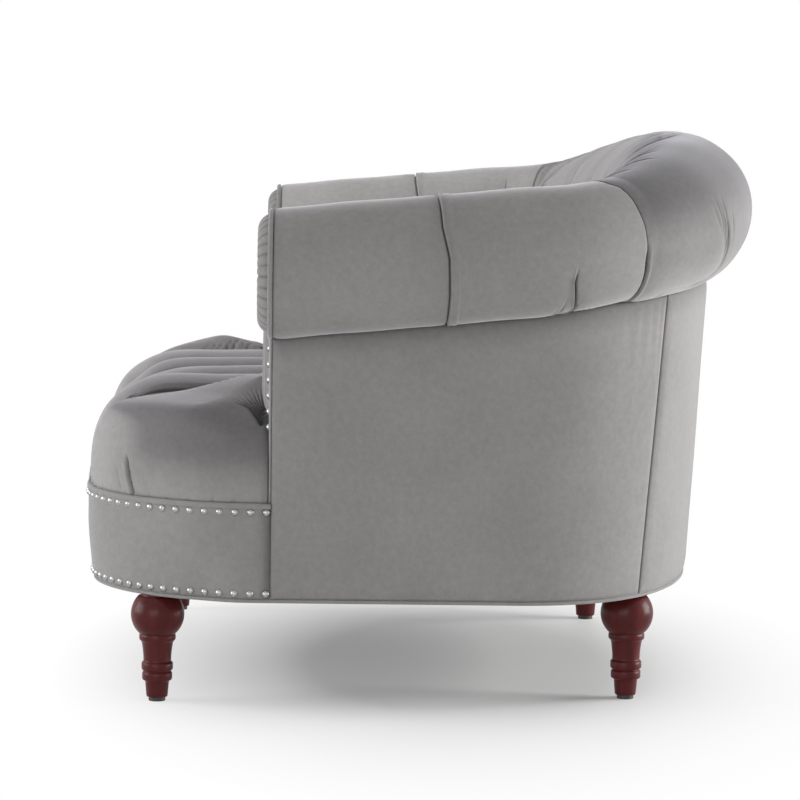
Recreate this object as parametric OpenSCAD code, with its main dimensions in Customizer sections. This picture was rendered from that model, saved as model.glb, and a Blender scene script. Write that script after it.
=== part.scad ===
// Tufted scroll-arm tub chair. Millimetres, +Z up, front towards -Y,
// origin on the floor below the middle of the chair.

/* [Plan] */
// Half of the width across the outside arm panels at the base
side_x = 450; // [430:1:480]
// Where the straight sides end and the back curve starts
turn_y = 110; // [90:1:130]
// How far the base bows out behind that line
back_bow = 263; // [250:1:280]
// Power of the back curve: 2 is an ellipse, more is squarer
squareness = 2.3; // [2:0.1:2.8]
// Front face of the arms
arm_front_y = -196; // [-215:1:-185]
// Radius of the two front corners of the base
corner_r = 229; // [215:1:240]
// Centre line of the front corners
corner_y = -212; // [-225:1:-210]
// How far the middle of the front bows forward of the corners
front_bow = 9; // [0:1:16]

/* [Heights] */
// Height of the legs
leg_h = 140; // [120:1:170]
// Height of the seam between base band and seat
seat_seam_z = 268; // [260:1:290]
// Rise of the seat above that seam at the crown of its channels
seat_rise = 142; // [130:1:160]
// Height of the arm roll's centre at its front end
arm_roll_z = 561; // [548:1:580]
// Rise of the arm roll for each millimetre towards the back
arm_slope = 0.0945; // [0.06:0.005:0.12]
// Extra lift of the roll at the middle of the back
back_lift = 25.7; // [10:0.1:35]

/* [Rolls] */
// Distance from the middle of the chair to the arm roll's centre line
roll_x = 464; // [458:1:480]
// How far the roll's centre line bows out behind the turn
roll_bow = 243.6; // [232:0.2:250]
// Radius of the arm rolls
arm_roll_r = 81; // [76:1:86]
// Radius of the back roll at the middle
back_roll_r = 100.6; // [90:0.2:108]
// Depth of the folds that run over the rolls
fold_depth = 7; // [3:1:10]
// Place of the arm fold along the chair
arm_fold_y = 15; // [0:1:40]
// Angle along the back curve between two columns of tufts
tuft_step = 9; // [8.5:0.25:9.5]
// Distance along the arms between two columns of tufts
tuft_gap = 72; // [66:1:74]

/* [Seat] */
// Half of the seat's width between the arms
seat_half_w = 331.5; // [322:0.5:333]
// Width of one channel of the seat
channel_w = 132; // [116:1:140]
// Depth of the grooves between the channels
groove_depth = 11; // [5:1:16]
// Depth of the two outer grooves, beside the ears
ear_groove = 17; // [8:1:20]
// Height of the ears over the channels
ear_lift = 16; // [6:1:20]
// Where the seat's rear edge starts to curve
seat_turn_y = -20; // [-40:1:0]
// How far the seat's rear edge bows out behind that line
seat_bow = 165; // [150:1:172]

/* [Covers] */
// Thickness of the padded outside panels
panel_t = 6; // [4:0.5:8]
// Lean of the outside panels to the side, over their height
panel_lean_x = 5; // [2:1:7]
// Lean of the outside panels to the back, over their height
panel_lean_y = 22; // [14:1:26]
// Thickness of the padded front band
band_t = 7; // [4:0.5:8]
// How far that band is drawn in at its foot, round the front
band_foot = 7; // [0:0.5:7]
// How far the pleated facings are drawn in at their middle
facing_dip = 10; // [4:0.5:12]
// Thickness of the nailed panels below the facings
front_panel_t = 4; // [3:0.5:8]
// Bulge of the arm facings in front of the arm's face
facing_bulge = 20; // [8:1:24]
// Number of pleats in one facing
facing_pleats = 16; // [12:1:20]
// Radius of the welts round the facings
welt_r = 3.2; // [2.5:0.1:4]
// Height and depth of the welt round the base edge
base_welt = 5; // [4:0.5:6]
// Thickness of the flat strip over the front band
strip_t = 1.5; // [1:0.25:2]
// Height of that strip
strip_h = 6.8; // [5:0.2:10]

/* [Nails and buttons] */
// Radius of a nail head
nail_r = 4.7; // [4:0.1:5.5]
// Height of a nail head
nail_h = 3; // [2:0.25:3.5]
// Distance between two nails
nail_pitch = 20; // [16:1:26]
// Height of the lower nail row over the base edge
nail_low = 12; // [9:1:18]
// Distance of the upper nail row below the seat seam
nail_drop = 12; // [10:0.5:16]
// Number of nails on the front of each arm
arm_nails = 6; // [4:1:6]
// Radius of the covered buttons
button_r = 10; // [8:0.5:11]
// Thickness of the covered buttons
button_t = 6; // [4:0.5:7]

/* [Legs] */
// Distance of the front legs from the middle
leg_front_x = 374; // [350:1:374]
// Place of the front legs along the chair
leg_front_y = -342; // [-344:1:-320]
// Distance of the rear legs from the middle
leg_rear_x = 326; // [300:1:330]
// Place of the rear legs along the chair
leg_rear_y = 271; // [240:1:275]
// Radius of a leg's ball
ball_r = 34.6; // [31:0.2:36]
// Radius of a leg's neck, over the ball
neck_r = 22; // [18:0.5:23]
// Radius of a leg's collar, under the ball
collar_r = 23.7; // [21.5:0.1:25]
// Radius of a leg's column
column_r = 18; // [16:0.25:20]
// Radius of the upper ring on a leg
upper_ring_r = 20.4; // [19:0.1:22]
// Radius of the lower ring on a leg
lower_ring_r = 19.5; // [18.5:0.1:21]
// Radius of a leg's foot
foot_r = 13.9; // [12.8:0.1:15]
// Radius of a leg's glide
glide_r = 10.9; // [9:0.1:12]
// Height of a leg's glide
glide_h = 5; // [4:0.5:6]
// Radius of the hanger bolts
bolt_r = 4; // [3:0.5:5]
// Depth of the bolt's bore in the leg
bolt_depth = 42; // [30:1:50]
// Radius of the flange of the tee nuts
nut_r = 12; // [10:0.5:13]
// Thickness of that flange
nut_t = 2.5; // [2:0.25:3]

/* [Frame] */
// Thickness of the base board
board_t = 18; // [15:1:21]
// Height of the side rails and of the curved rear rail
rail_h = 80; // [60:1:88]
// Thickness of the base rails
rail_t = 18; // [15:1:20]
// Thickness of the arm posts
post_t = 22; // [18:1:24]
// Radius of an arm post's scroll end
scroll_r = 66; // [58:1:70]
// Thickness of the top rail in the rolls
top_rail_t = 22; // [18:1:24]
// Height of the top rail in the rolls
top_rail_h = 66; // [50:1:70]
// Thickness of the inner plywood shells
shell_t = 8; // [6:0.5:9]
// Thickness of the spring rails
spring_rail_t = 20; // [16:1:22]
// Radius of the spring wire
wire_r = 1.9; // [1.6:0.1:2.2]
// Number of zigzag springs
spring_count = 5; // [3:1:5]
// Width of a zigzag spring
spring_w = 52; // [44:1:58]
// Distance between two bars of a spring
spring_pitch = 28; // [24:1:34]

/* [Hidden] */

velvet = "#9b9a9d";
velvet_dark = "#868588";
mahogany = "#5a2327";
birch = "#c9a877";
steel = "#a7abb0";

// Clearance between two pieces that touch or nest
fit = 0.3;
big = 2000;
base_z = leg_h;
cover_t = 1.2;
board_z = base_z + cover_t;
rail_z = board_z + board_t;
rail_top = rail_z + rail_h;
burlap_t = 1.5;
burlap_z = seat_seam_z - fit - burlap_t;
// Strap thickness of the clips over the springs' end bars
clip_t = 0.8;
wire_z = burlap_z - 2 * fit - clip_t - wire_r;
spring_rail_top = wire_z - wire_r;
seam_angle = 7 * tuft_step;
// The rear seams lean: their foot and their top lie at these angles.
rear_seam_angle = 49;
rear_seam_top = 43.7;
slot_play = 0.5;
leg_front = [leg_front_x, leg_front_y];
leg_rear = [leg_rear_x, leg_rear_y];
// The wooden base lies just inside the covers.
board_inset = max(band_t, panel_t) + 1;
side_inset = board_inset + 2;

// Points of the plan

// A point of a squared ellipse: angle 0 at the back, 90 at the side.
function bend(a, b, y0, angle) =
  [sign(angle) * a * pow(abs(sin(angle)), 2 / squareness),
   y0 + b * pow(max(cos(angle), 0), 2 / squareness)];

// Outward direction of that curve
function bend_normal(a, b, angle) =
  let (nx = pow(abs(sin(angle)), 2 - 2 / squareness) / a,
       ny = pow(max(cos(angle), 0), 2 - 2 / squareness) / b,
       size = norm([nx, ny]))
  [sign(angle) * nx / size, ny / size];

// The back curve of the base, inset by d, between two angles
function back_chain(d, from, to, step = 3) =
  [for (angle = [from : step : to + 0.01])
    bend(side_x - d, back_bow - d, turn_y, angle)];

// The front of the base from the right side to the left, inset by d
function front_chain(d) =
  let (cx = side_x - corner_r, r = corner_r - d,
       right = [for (q = [0 : 6 : 90]) [cx + r * cos(q), corner_y - r * sin(q)]],
       bow = [for (u = [0.75 : -0.25 : -0.75])
               [cx * u, corner_y - r - front_bow * (1 + cos(180 * u)) / 2]],
       left = [for (q = [90 : -6 : 0]) [-cx - r * cos(q), corner_y - r * sin(q)]])
  concat(right, bow, left);

// The whole plan of the seat's edge, inset by d
function plan(d) = concat(front_chain(d), back_chain(d, -90, 90));

// The front chain at a height, inset by d: round the front it is drawn in at its foot.
foot_end_y = -235;
foot_turn_y = -295;
foot_top_z = leg_h + 88;
foot_h = 95;
function eased(t) = let (u = min(max(t, 0), 1)) u * u * (3 - 2 * u);
function drawn_chain(d, z) =
  let (edge = front_chain(0), inner = front_chain(1))
  [for (i = [0 : len(edge) - 1])
    let (share = eased((foot_end_y - edge[i][1]) / (foot_end_y - foot_turn_y)),
         back = band_foot * share * eased((foot_top_z - z) / foot_h))
    edge[i] + (d + back) * (inner[i] - edge[i])];

// The plan of the base's foot, inset by d
function base_plan(d) = concat(drawn_chain(d, leg_h), back_chain(d, -90, 90));

function reversed(list) = [for (i = [len(list) - 1 : -1 : 0]) list[i]];

// The front chain at a height, and on to a place beside the arms
function band_chain(d, y_end, z = big) =
  concat([[side_x - d, y_end]], drawn_chain(d, z), [[-(side_x - d), y_end]]);

// A point at a distance along an open chain of points
function chain_length(c) =
  len(c) < 2 ? 0 : norm(c[1] - c[0]) + chain_length([for (i = [1 : len(c) - 1]) c[i]]);
function along(c, s, i = 0) =
  let (leg = norm(c[i + 1] - c[i]))
  (s <= leg || i + 2 >= len(c))
    ? [c[i] + (c[i + 1] - c[i]) * s / leg, (c[i + 1] - c[i]) / leg]
    : along(c, s - leg, i + 1);

// The rolls

// The rolls rise along the arms, and more from the turn to the middle of the back.
function roll_z_at(y, angle) =
  arm_roll_z + arm_slope * (y - arm_front_y)
    + back_lift * pow(max(cos(angle), 0), 2.15);
// They are thinnest at the corner seam and fullest at the middle of the back.
seam_r = arm_roll_r - 3;
function roll_r_at(angle) =
  abs(angle) > seam_angle
    ? arm_roll_r - (arm_roll_r - seam_r) * (90 - abs(angle)) / (90 - seam_angle)
    : seam_r + (back_roll_r - seam_r)
        * sin(90 * pow((seam_angle - abs(angle)) / seam_angle, 0.93));

// A station of a roll: place, outward direction, height and radius
function arm_station(y) = [[roll_x, y], [1, 0], roll_z_at(y, 90), arm_roll_r];
function bend_station(angle) =
  let (p = bend(roll_x, roll_bow, turn_y, angle))
  [p, bend_normal(roll_x, roll_bow, angle), roll_z_at(p[1], angle), roll_r_at(angle)];

// Distance from a station, outwards, at which a squared ellipse is met
function reach(st, a, b, lo = -arm_roll_r, hi = 2 * arm_roll_r, k = 26) =
  let (mid = (lo + hi) / 2, p = st[0] + mid * st[1],
       size = pow(abs(p[0]) / a, squareness) + pow(max(p[1] - turn_y, 0) / b, squareness))
  k == 0 ? mid : size > 1 ? reach(st, a, b, lo, mid, k - 1) : reach(st, a, b, mid, hi, k - 1);
// The outside panels' outer face at the top and at the foot, at depth d
function top_reach(st, d) =
  reach(st, side_x + panel_lean_x - d, back_bow + panel_lean_y - d);
function foot_reach(st, d) = reach(st, side_x - d, back_bow - d);
function under_roll(st, offset) =
  st[2] - sqrt(st[3] * st[3] - offset * offset);
// Middle of the top rail, measured outwards from the roll's centre
function rail_offset(st) = top_reach(st, 0) - panel_t - 4 - top_rail_t / 2;

// Ring of a roll round its centre, with a slot for the top rail from below.
// The last two points are the slot's upper corners.
arc_count = 15;
function roll_ring(st, offset, shrink, low_shrink) =
  let (half = top_rail_t / 2 + slot_play,
       r = st[3],
       first = -acos(min(max((offset + half) / r, -1), 1)),
       last = 360 - acos(min(max((offset - half) / r, -1), 1)),
       slot_top = 8 + slot_play,
       ring = concat(
         [for (i = [0 : arc_count - 1])
           let (q = first + (last - first) * i / (arc_count - 1),
                edge = i == 0 || i == arc_count - 1 ? 0 : 1,
                low = q < -20 ? 1 : 0,
                rr = r - edge * (shrink + low * low_shrink))
           [rr * cos(q), rr * sin(q)]],
         [[offset - half, slot_top], [offset + half, slot_top]]))
  [for (p = ring)
    [st[0][0] + p[0] * st[1][0], st[0][1] + p[0] * st[1][1], st[2] + p[1]]];

// Caps of such a ring: two fans from the slot's upper corners
crest = 7;
ring_cap = concat(
  [for (i = [0 : crest - 1]) [arc_count + 1, i, i + 1]],
  [[arc_count + 1, crest, arc_count]],
  [for (i = [crest : arc_count - 2]) [arc_count, i, i + 1]]);

// A closed solid through equal rings of points
module swept(rings, cap) {
  n = len(rings[0]);
  m = len(rings);
  sides = [for (i = [0 : m - 2], j = [0 : n - 1]) each [
    [i * n + j, i * n + (j + 1) % n, (i + 1) * n + j],
    [(i + 1) * n + j, i * n + (j + 1) % n, (i + 1) * n + (j + 1) % n]]];
  near = [for (f = cap) [f[2], f[1], f[0]]];
  far = [for (f = cap) [f[0] + (m - 1) * n, f[1] + (m - 1) * n, f[2] + (m - 1) * n]];
  polyhedron([for (ring = rings) each ring], concat(sides, near, far));
}

// A closed solid between a front and a back grid of points
module slab(front, back) {
  m = len(front);
  n = len(front[0]);
  k = m * n;
  face = [for (i = [0 : m - 2], j = [0 : n - 2]) each [
    [i * n + j, i * n + j + 1, (i + 1) * n + j],
    [(i + 1) * n + j, i * n + j + 1, (i + 1) * n + j + 1]]];
  rear = [for (f = face) [f[2] + k, f[1] + k, f[0] + k]];
  rows = [for (j = [0 : n - 2], e = [0, 1])
    let (a = e * (m - 1) * n + j, b = a + 1)
    each (e == 0 ? [[a, a + k, b], [b, a + k, b + k]]
                 : [[a, b, a + k], [b, b + k, a + k]])];
  ends = [for (i = [0 : m - 2], e = [0, 1])
    let (a = i * n + e * (n - 1), b = a + n)
    each (e == 0 ? [[a, b, a + k], [b, b + k, a + k]]
                 : [[a, a + k, b], [b, a + k, b + k]])];
  polyhedron([for (row = concat(front, back)) each row],
             concat(face, rear, rows, ends));
}

// A flat strip between two chains of plan points
module strip(outer, inner, z, h) {
  translate([0, 0, z]) linear_extrude(h) polygon(concat(outer, reversed(inner)));
}

module at_legs() {
  for (s = [-1, 1]) {
    translate([s * leg_front[0], leg_front[1], 0]) children();
    translate([s * leg_rear[0], leg_rear[1], 0]) children();
  }
}

// Legs

// Half profile of a leg: radius and height, from the glide up.
// The ball is an arc between its collar and its neck.
ball_z = leg_h - 26.5;
collar_z = ball_z - 26;
taper_top = glide_h + 21.5;
ring_gap_z = taper_top + 12.5;
column_z = ring_gap_z + 13;
function leg_profile() = concat(
  [[0, glide_h], [foot_r - 1.3, glide_h], [foot_r, glide_h + 2], [foot_r + 1.5, taper_top],
   [lower_ring_r - 1.9, taper_top + 0.8], [lower_ring_r, taper_top + 3],
   [lower_ring_r, ring_gap_z - 3], [lower_ring_r - 1.9, ring_gap_z - 0.4],
   [lower_ring_r - 1.9, ring_gap_z + 0.4], [upper_ring_r, ring_gap_z + 3],
   [upper_ring_r, column_z - 3], [column_r - 0.2, column_z - 0.6],
   [column_r, column_z + 1], [column_r + 2.2, collar_z - 9],
   [collar_r - 1.1, collar_z - 8], [collar_r, collar_z - 6], [collar_r, collar_z - 2],
   [collar_r - 1.3, collar_z]],
  [for (q = [-46 : 8 : 42]) [ball_r * cos(q), ball_z + ball_r * sin(q)]],
  [[neck_r, ball_z + 24.4], [neck_r, leg_h], [0, leg_h]]);

module leg() {
  color(mahogany) difference() {
    rotate_extrude($fn = 48) polygon(leg_profile());
    translate([0, 0, leg_h - bolt_depth])
      cylinder(h = bolt_depth + 1, r = bolt_r + 0.2, $fn = 32);
  }
}

module leg_front_left() { translate([-leg_front[0], leg_front[1], 0]) leg(); }
module leg_front_right() { translate([leg_front[0], leg_front[1], 0]) leg(); }
module leg_rear_left() { translate([-leg_rear[0], leg_rear[1], 0]) leg(); }
module leg_rear_right() { translate([leg_rear[0], leg_rear[1], 0]) leg(); }

module leg_glides() {
  color("#1c1c1c") at_legs() cylinder(h = glide_h, r = glide_r, $fn = 48);
}

// The bolts end in blind bores of the base board.
bolt_top = board_z + 13;
module hanger_bolts() {
  bottom = leg_h - bolt_depth;
  color(steel) at_legs() translate([0, 0, bottom])
    cylinder(h = bolt_top - bottom, r = bolt_r, $fn = 32);
}

barrel_h = 10;
module nut_shape(play, h) {
  cylinder(h = nut_t + play, r = nut_r + play, $fn = 48);
  cylinder(h = h, r = bolt_r + 1.6 + play, $fn = 32);
}

module tee_nuts() {
  color(steel) at_legs() difference() {
    translate([0, 0, board_z]) nut_shape(0, barrel_h);
    translate([0, 0, board_z - 1]) cylinder(h = barrel_h + 2, r = bolt_r + 0.2, $fn = 32);
  }
}

// Base of the frame

// Open well in the base board, under the springs, and its corner radius
well_x = 330;
well_front = -350;
well_rear = 150;
well_r = 60;
module well() {
  translate([-well_x, well_front + well_r])
    square([2 * well_x, well_rear - well_front - 2 * well_r]);
  translate([-well_x + well_r, well_front])
    square([2 * (well_x - well_r), well_rear - well_front]);
  for (x = [-1, 1], y = [well_front + well_r, well_rear - well_r])
    translate([x * (well_x - well_r), y]) circle(well_r, $fn = 48);
}

module base_board() {
  color(birch) difference() {
    translate([0, 0, board_z]) linear_extrude(board_t) polygon(base_plan(board_inset));
    translate([0, 0, board_z - 1]) linear_extrude(board_t + 2) well();
    at_legs() translate([0, 0, board_z]) nut_shape(fit, bolt_top + 1 - board_z);
  }
}

// The front rail stops at the arm posts.
rail_end_y = arm_front_y - 2;
band_zs = [0, 0.15, 0.3, 0.5, 0.7, 1];
// A front piece between two heights, whose face follows the drawn-in foot.
// Its rear follows too, or stands upright.
module front_slab(inset, thick, y_end, low, high, upright = false) {
  zs = [for (share = band_zs) low + share * (high - low)];
  face = [for (z = zs) [for (p = band_chain(inset, y_end, z)) [p[0], p[1], z]]];
  rear = [for (z = zs)
    [for (p = band_chain(inset + thick, y_end, upright ? big : z)) [p[0], p[1], z]]];
  slab(face, rear);
}
module front_rail() {
  color(birch) front_slab(board_inset, rail_t, rail_end_y, rail_z, burlap_z, true);
}

module side_rail_right() {
  start = arm_front_y + post_t + fit;
  color(birch) translate([side_x - side_inset - rail_t, start, rail_z])
    cube([rail_t, turn_y - start, rail_h]);
}
module side_rail_left() { mirror([1, 0, 0]) side_rail_right(); }

module rear_rail() {
  color(birch) strip(back_chain(side_inset, -90, 90),
    back_chain(side_inset + rail_t, -90, 90), rail_z, rail_h);
}

// Glue blocks inside the side rails
block = [26, 60, rail_h - 15];
module corner_blocks() {
  x = side_x - side_inset - rail_t - block[0];
  rear_y = turn_y - block[1] - 15;
  color(birch) for (s = [-1, 1], y = [arm_front_y + post_t + 24, rear_y])
    translate([s > 0 ? x : -x - block[0], y, rail_z]) cube(block);
}

// Seat springs

// The springs run between two rails, which stand on the base board.
front_spring_y = -398;
rear_spring_y = 160;
spring_rail_half = 290;
// From a rail's edge to the end bar of a spring
bar_edge = 6;
module spring_rail(y) {
  color(birch) translate([-spring_rail_half, y, rail_z])
    cube([2 * spring_rail_half, spring_rail_t, spring_rail_top - rail_z]);
}
module spring_rail_front() { spring_rail(front_spring_y); }
module spring_rail_rear() { spring_rail(rear_spring_y); }

spring_from = front_spring_y + bar_edge;
spring_room = rear_spring_y + spring_rail_t - bar_edge - spring_from;
spring_bars = floor(spring_room / spring_pitch) + 1;
// Distance between the middles of two springs
spring_gap = 2 * (spring_rail_half - spring_w / 2 - 4) / max(spring_count - 1, 1);

// One flat zigzag spring: bars across, joined by half rings
module zigzag() {
  bend_r = spring_pitch / 2;
  bar = spring_w - 2 * bend_r;
  for (i = [0 : spring_bars - 1])
    translate([-bar / 2, i * spring_pitch, 0]) rotate([0, 90, 0])
      cylinder(h = bar, r = wire_r, $fn = 16);
  for (i = [0 : spring_bars - 2])
    translate([(i % 2 == 0 ? 1 : -1) * bar / 2, (i + 0.5) * spring_pitch, 0])
      rotate([0, 0, i % 2 == 0 ? -90 : 90])
        rotate_extrude(angle = 180, $fn = 24)
          translate([bend_r, 0]) circle(wire_r, $fn = 16);
}

module seat_springs() {
  color(steel) for (k = [0 : spring_count - 1])
    translate([(k - (spring_count - 1) / 2) * spring_gap, spring_from, wire_z]) zigzag();
}

// A clip is a strap that holds the end bar of a spring down on its rail.
clip_w = 14;
module spring_clips() {
  slot = 2 * wire_r + 0.2;
  last_y = spring_from + (spring_bars - 1) * spring_pitch;
  color(steel) for (k = [0 : spring_count - 1], y = [spring_from, last_y])
    translate([(k - (spring_count - 1) / 2) * spring_gap - clip_w / 2, y, spring_rail_top])
      difference() {
        translate([0, -slot / 2 - clip_t, 0])
          cube([clip_w, slot + 2 * clip_t, slot + clip_t]);
        translate([-1, -slot / 2, -1])
          cube([clip_w + 2, slot, slot + 1]);
      }
}

module seat_burlap() {
  color("#b59b6a") translate([0, 0, burlap_z]) linear_extrude(burlap_t)
    intersection() {
      polygon(plan(board_inset + 3));
      translate([-seat_half_w - 5, -big])
        square([2 * seat_half_w + 10, big + rear_spring_y + spring_rail_t]);
    }
}

module dust_cover() {
  color("#202022") difference() {
    translate([0, 0, base_z]) linear_extrude(cover_t) polygon(base_plan(9));
    at_legs() translate([0, 0, base_z - 1])
      cylinder(h = cover_t + 2, r = bolt_r + 0.4, $fn = 32);
  }
}

module dust_cover_staples() {
  route = base_plan(20);
  pitch = 70;
  count = floor(chain_length(route) / pitch);
  color(steel) for (i = [0 : count - 1]) {
    spot = along(route, (i + 0.5) * pitch);
    clear = min([for (s = [-1, 1], leg = [leg_front, leg_rear])
      norm(spot[0] - [s * leg[0], leg[1]])]);
    if (clear > 32)
      translate([spot[0][0], spot[0][1], base_z - 0.6])
        rotate([0, 0, atan2(spot[1][1], spot[1][0])])
          translate([-5, -0.6, 0]) cube([10, 1.2, 0.6]);
  }
}

// Upper frame

post_in = roll_x - arm_roll_r + 1.5;
post_out = side_x - panel_t - 1;

module arm_post_right() {
  color(birch) translate([0, arm_front_y + post_t, 0]) rotate([90, 0, 0])
    linear_extrude(post_t) union() {
      translate([post_in, rail_z]) square([post_out - post_in, arm_roll_z - rail_z]);
      translate([roll_x, arm_roll_z]) circle(scroll_r, $fn = 96);
    }
}
module arm_post_left() { mirror([1, 0, 0]) arm_post_right(); }

arm_rail_off = side_x + panel_lean_x - roll_x - panel_t - 4 - top_rail_t / 2;
module arm_top_rail_right() {
  start = arm_front_y + post_t + fit;
  run = turn_y - start;
  z0 = roll_z_at(start, 90) + 8 - top_rail_h;
  color(birch) translate([roll_x + arm_rail_off - top_rail_t / 2, start, 0])
    rotate([90, 0, 90]) linear_extrude(top_rail_t)
      polygon([[0, z0], [run, z0 + arm_slope * run],
               [run, z0 + arm_slope * run + top_rail_h], [0, z0 + top_rail_h]]);
}
module arm_top_rail_left() { mirror([1, 0, 0]) arm_top_rail_right(); }

module back_top_rail() {
  right = concat([90], arm_bends, reversed([for (a = back_angles) if (a > 0) a]));
  angles = concat(right, [0], reversed([for (a = right) -a]));
  color(birch) swept(
    [for (angle = angles)
      let (st = bend_station(angle),
           off = rail_offset(st),
           lo = st[2] + 8 - top_rail_h)
      [for (c = [[-1, 0], [1, 0], [1, 1], [-1, 1]])
        let (o = off + c[0] * top_rail_t / 2)
        [st[0][0] + o * st[1][0], st[0][1] + o * st[1][1], lo + c[1] * top_rail_h]]],
    [[0, 1, 2], [0, 2, 3]]);
}

// Outer posts stand on the rear rail and carry the top rail.
module back_posts() {
  half = 16;
  thick = (rail_t - 4) / 2;
  color(birch) for (angle = [-54, -22, 22, 54]) {
    st = bend_station(angle);
    foot = st[0] + foot_reach(st, side_inset + rail_t / 2) * st[1];
    head = st[0] + rail_offset(st) * st[1];
    turn = atan2(st[1][1], st[1][0]);
    head_z = st[2] + 8 - top_rail_h - 2.5;
    hull() {
      translate([foot[0], foot[1], rail_top]) rotate([0, 0, turn])
        translate([-thick, -half, 0]) cube([2 * thick, 2 * half, 1]);
      translate([head[0], head[1], head_z - 1]) rotate([0, 0, turn])
        translate([-thick, -half, 0]) cube([2 * thick, 2 * half, 1]);
    }
  }
}

// Inner shells stand on the base board behind the pads.
arm_pad_angles = [for (u = [0, 0.17, 0.34, 0.52, 0.7, 0.85, 1])
  90 - u * (90 - seam_angle - 0.1)];
tuft_angle = arm_pad_angles[2];
shell_gap = 0.8;
function shell_point(angle, d) =
  let (st = bend_station(angle)) st[0] - (st[3] - d) * st[1];
shell_h_arm = arm_roll_z - 42 - rail_z;
shell_h_back = arm_roll_z + 3 - rail_z;

module inner_shell_right() {
  x = roll_x - arm_roll_r + shell_gap;
  start = arm_front_y + post_t + fit;
  outer = concat([[x + shell_t, start]],
    [for (angle = arm_pad_angles) shell_point(angle, shell_gap + shell_t)]);
  inner = concat([[x, start]],
    [for (angle = arm_pad_angles) shell_point(angle, shell_gap)]);
  color(birch) strip(outer, inner, rail_z, shell_h_arm);
}
module inner_shell_left() { mirror([1, 0, 0]) inner_shell_right(); }

module inner_back_shell() {
  angles = concat([-seam_angle + 0.1], [for (c = back_columns) c * tuft_step],
    [seam_angle - 0.1]);
  color(birch) strip([for (a = angles) shell_point(a, shell_gap + shell_t)],
    [for (a = angles) shell_point(a, shell_gap)], rail_z, shell_h_back);
}

// Rolls

// How deep a station lies in a fold: 1 in the fold, 0 a little away
function fold_at(value, folds) = max([for (f = folds) abs(value - f) < 0.01 ? 1 : 0]);

// Places along the arm: closer together beside the front edge and the fold
edge_w = 8;
arm_run = arm_fold_y - arm_front_y;
arm_ys = concat([arm_front_y, arm_front_y + edge_w],
  [for (share = [0.22, 0.5, 0.78]) arm_front_y + share * arm_run],
  [for (k = [-1 : 1]) arm_fold_y + k * edge_w],
  [(arm_fold_y + turn_y) / 2, turn_y]);
// Angles round the corner: the third is the half tuck, the last the corner seam
arm_bends = [for (u = [0.2, 0.35, 0.46, 0.57, 0.75, 0.9, 1])
  90 - u * (90 - seam_angle - 0.1)];

module arm_roll_right() {
  straight = [for (y = arm_ys)
    roll_ring(arm_station(y), arm_rail_off,
      y == arm_front_y ? 4 : fold_depth * fold_at(y, [arm_fold_y]), 0)];
  curved = [for (angle = arm_bends)
    let (st = bend_station(angle))
    roll_ring(st, rail_offset(st),
      0.6 * fold_depth * fold_at(angle, [seam_angle + 0.1]),
      fold_depth * fold_at(angle, [arm_bends[2]]))];
  color(velvet) difference() {
    swept(concat(straight, curved), ring_cap);
    translate([roll_x, arm_front_y + post_t + fit, arm_roll_z]) rotate([90, 0, 0])
      cylinder(h = post_t + 2, r = scroll_r + fit, $fn = 96);
    translate([post_in - 1, arm_front_y - 1, arm_roll_z - arm_roll_r - 5])
      cube([post_out - post_in + 1 + fit, post_t + 1 + fit, arm_roll_r + 5]);
  }
}
module arm_roll_left() { mirror([1, 0, 0]) arm_roll_right(); }

back_half = [for (k = [0 : 6]) each
  [k * tuft_step, k * tuft_step + tuft_step * 0.2, k * tuft_step + tuft_step * 0.8]];
back_angles = concat([-(seam_angle - 0.1)],
  [for (i = [len(back_half) - 1 : -1 : 1]) -back_half[i]], back_half,
  [seam_angle - 0.1]);
// Some folds run over the whole roll, and others only down its lower half.
full_folds = [-2 * tuft_step, 0, 2 * tuft_step];
half_folds = [-4 * tuft_step, 4 * tuft_step];

module back_roll() {
  color(velvet) swept(
    [for (angle = reversed(back_angles))
      let (st = bend_station(angle))
      roll_ring(st, rail_offset(st),
        fold_depth * max(fold_at(angle, full_folds),
          fold_at(abs(angle), [seam_angle - 0.1])),
        fold_depth * fold_at(angle, half_folds))],
    ring_cap);
}

// Inside pads

// The pads stand between the seat's rear curve and the rolls. Their back is
// an upright wall just inside the roll, and their front leans back to its equator.
pad_z = seat_seam_z;
function pad_foot(angle) = bend(seat_half_w + 0.5, seat_bow + 0.5, seat_turn_y, angle);
function pad_wall(st) = st[0] - (st[3] + fit) * st[1];
// Lean of the front face: upright at seat height, then back towards the roll
function lean(v) = v < 0.3 ? 0 : pow((v - 0.3) / 0.7, 1.25);

// Depth of the tufts in the back pad and in the arm pads
tuft_depth = 13;
arm_tuft = 9;

pad_rows = 10;
function pad_front(foot, st, v, depth) =
  let (wall = pad_wall(st) - 1.2 * st[1],
       base = foot + (wall - foot) * lean(v),
       p = base + st[1] * depth)
  [p[0], p[1], pad_z + 0.5 + v * (st[2] - pad_z - 0.5)];
function pad_back(st, v) =
  let (p = pad_wall(st)) [p[0], p[1], pad_z + 0.5 + v * (st[2] - pad_z - 0.5)];

// Rows 5, 7 and 9 hold the tufts, above the seat: 5 and 9 in the even columns,
// and 7 in the odd ones.
function tuft_row(i) = i == 9 ? 0 : i == 7 ? 1 : i == 5 ? 0 : -1;
function tuft_dip(i, column) =
  tuft_row(i) < 0 || abs(column) > 6 ? 0
    : (abs(column) % 2 == tuft_row(i) ? 1 : 0);
// Creases join the tufts up and down: half depth on the row between.
function crease(i, column) = (i == 6 || i == 8) && abs(column - round(column)) > 0.4 ? 0.45 : 0;

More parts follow.
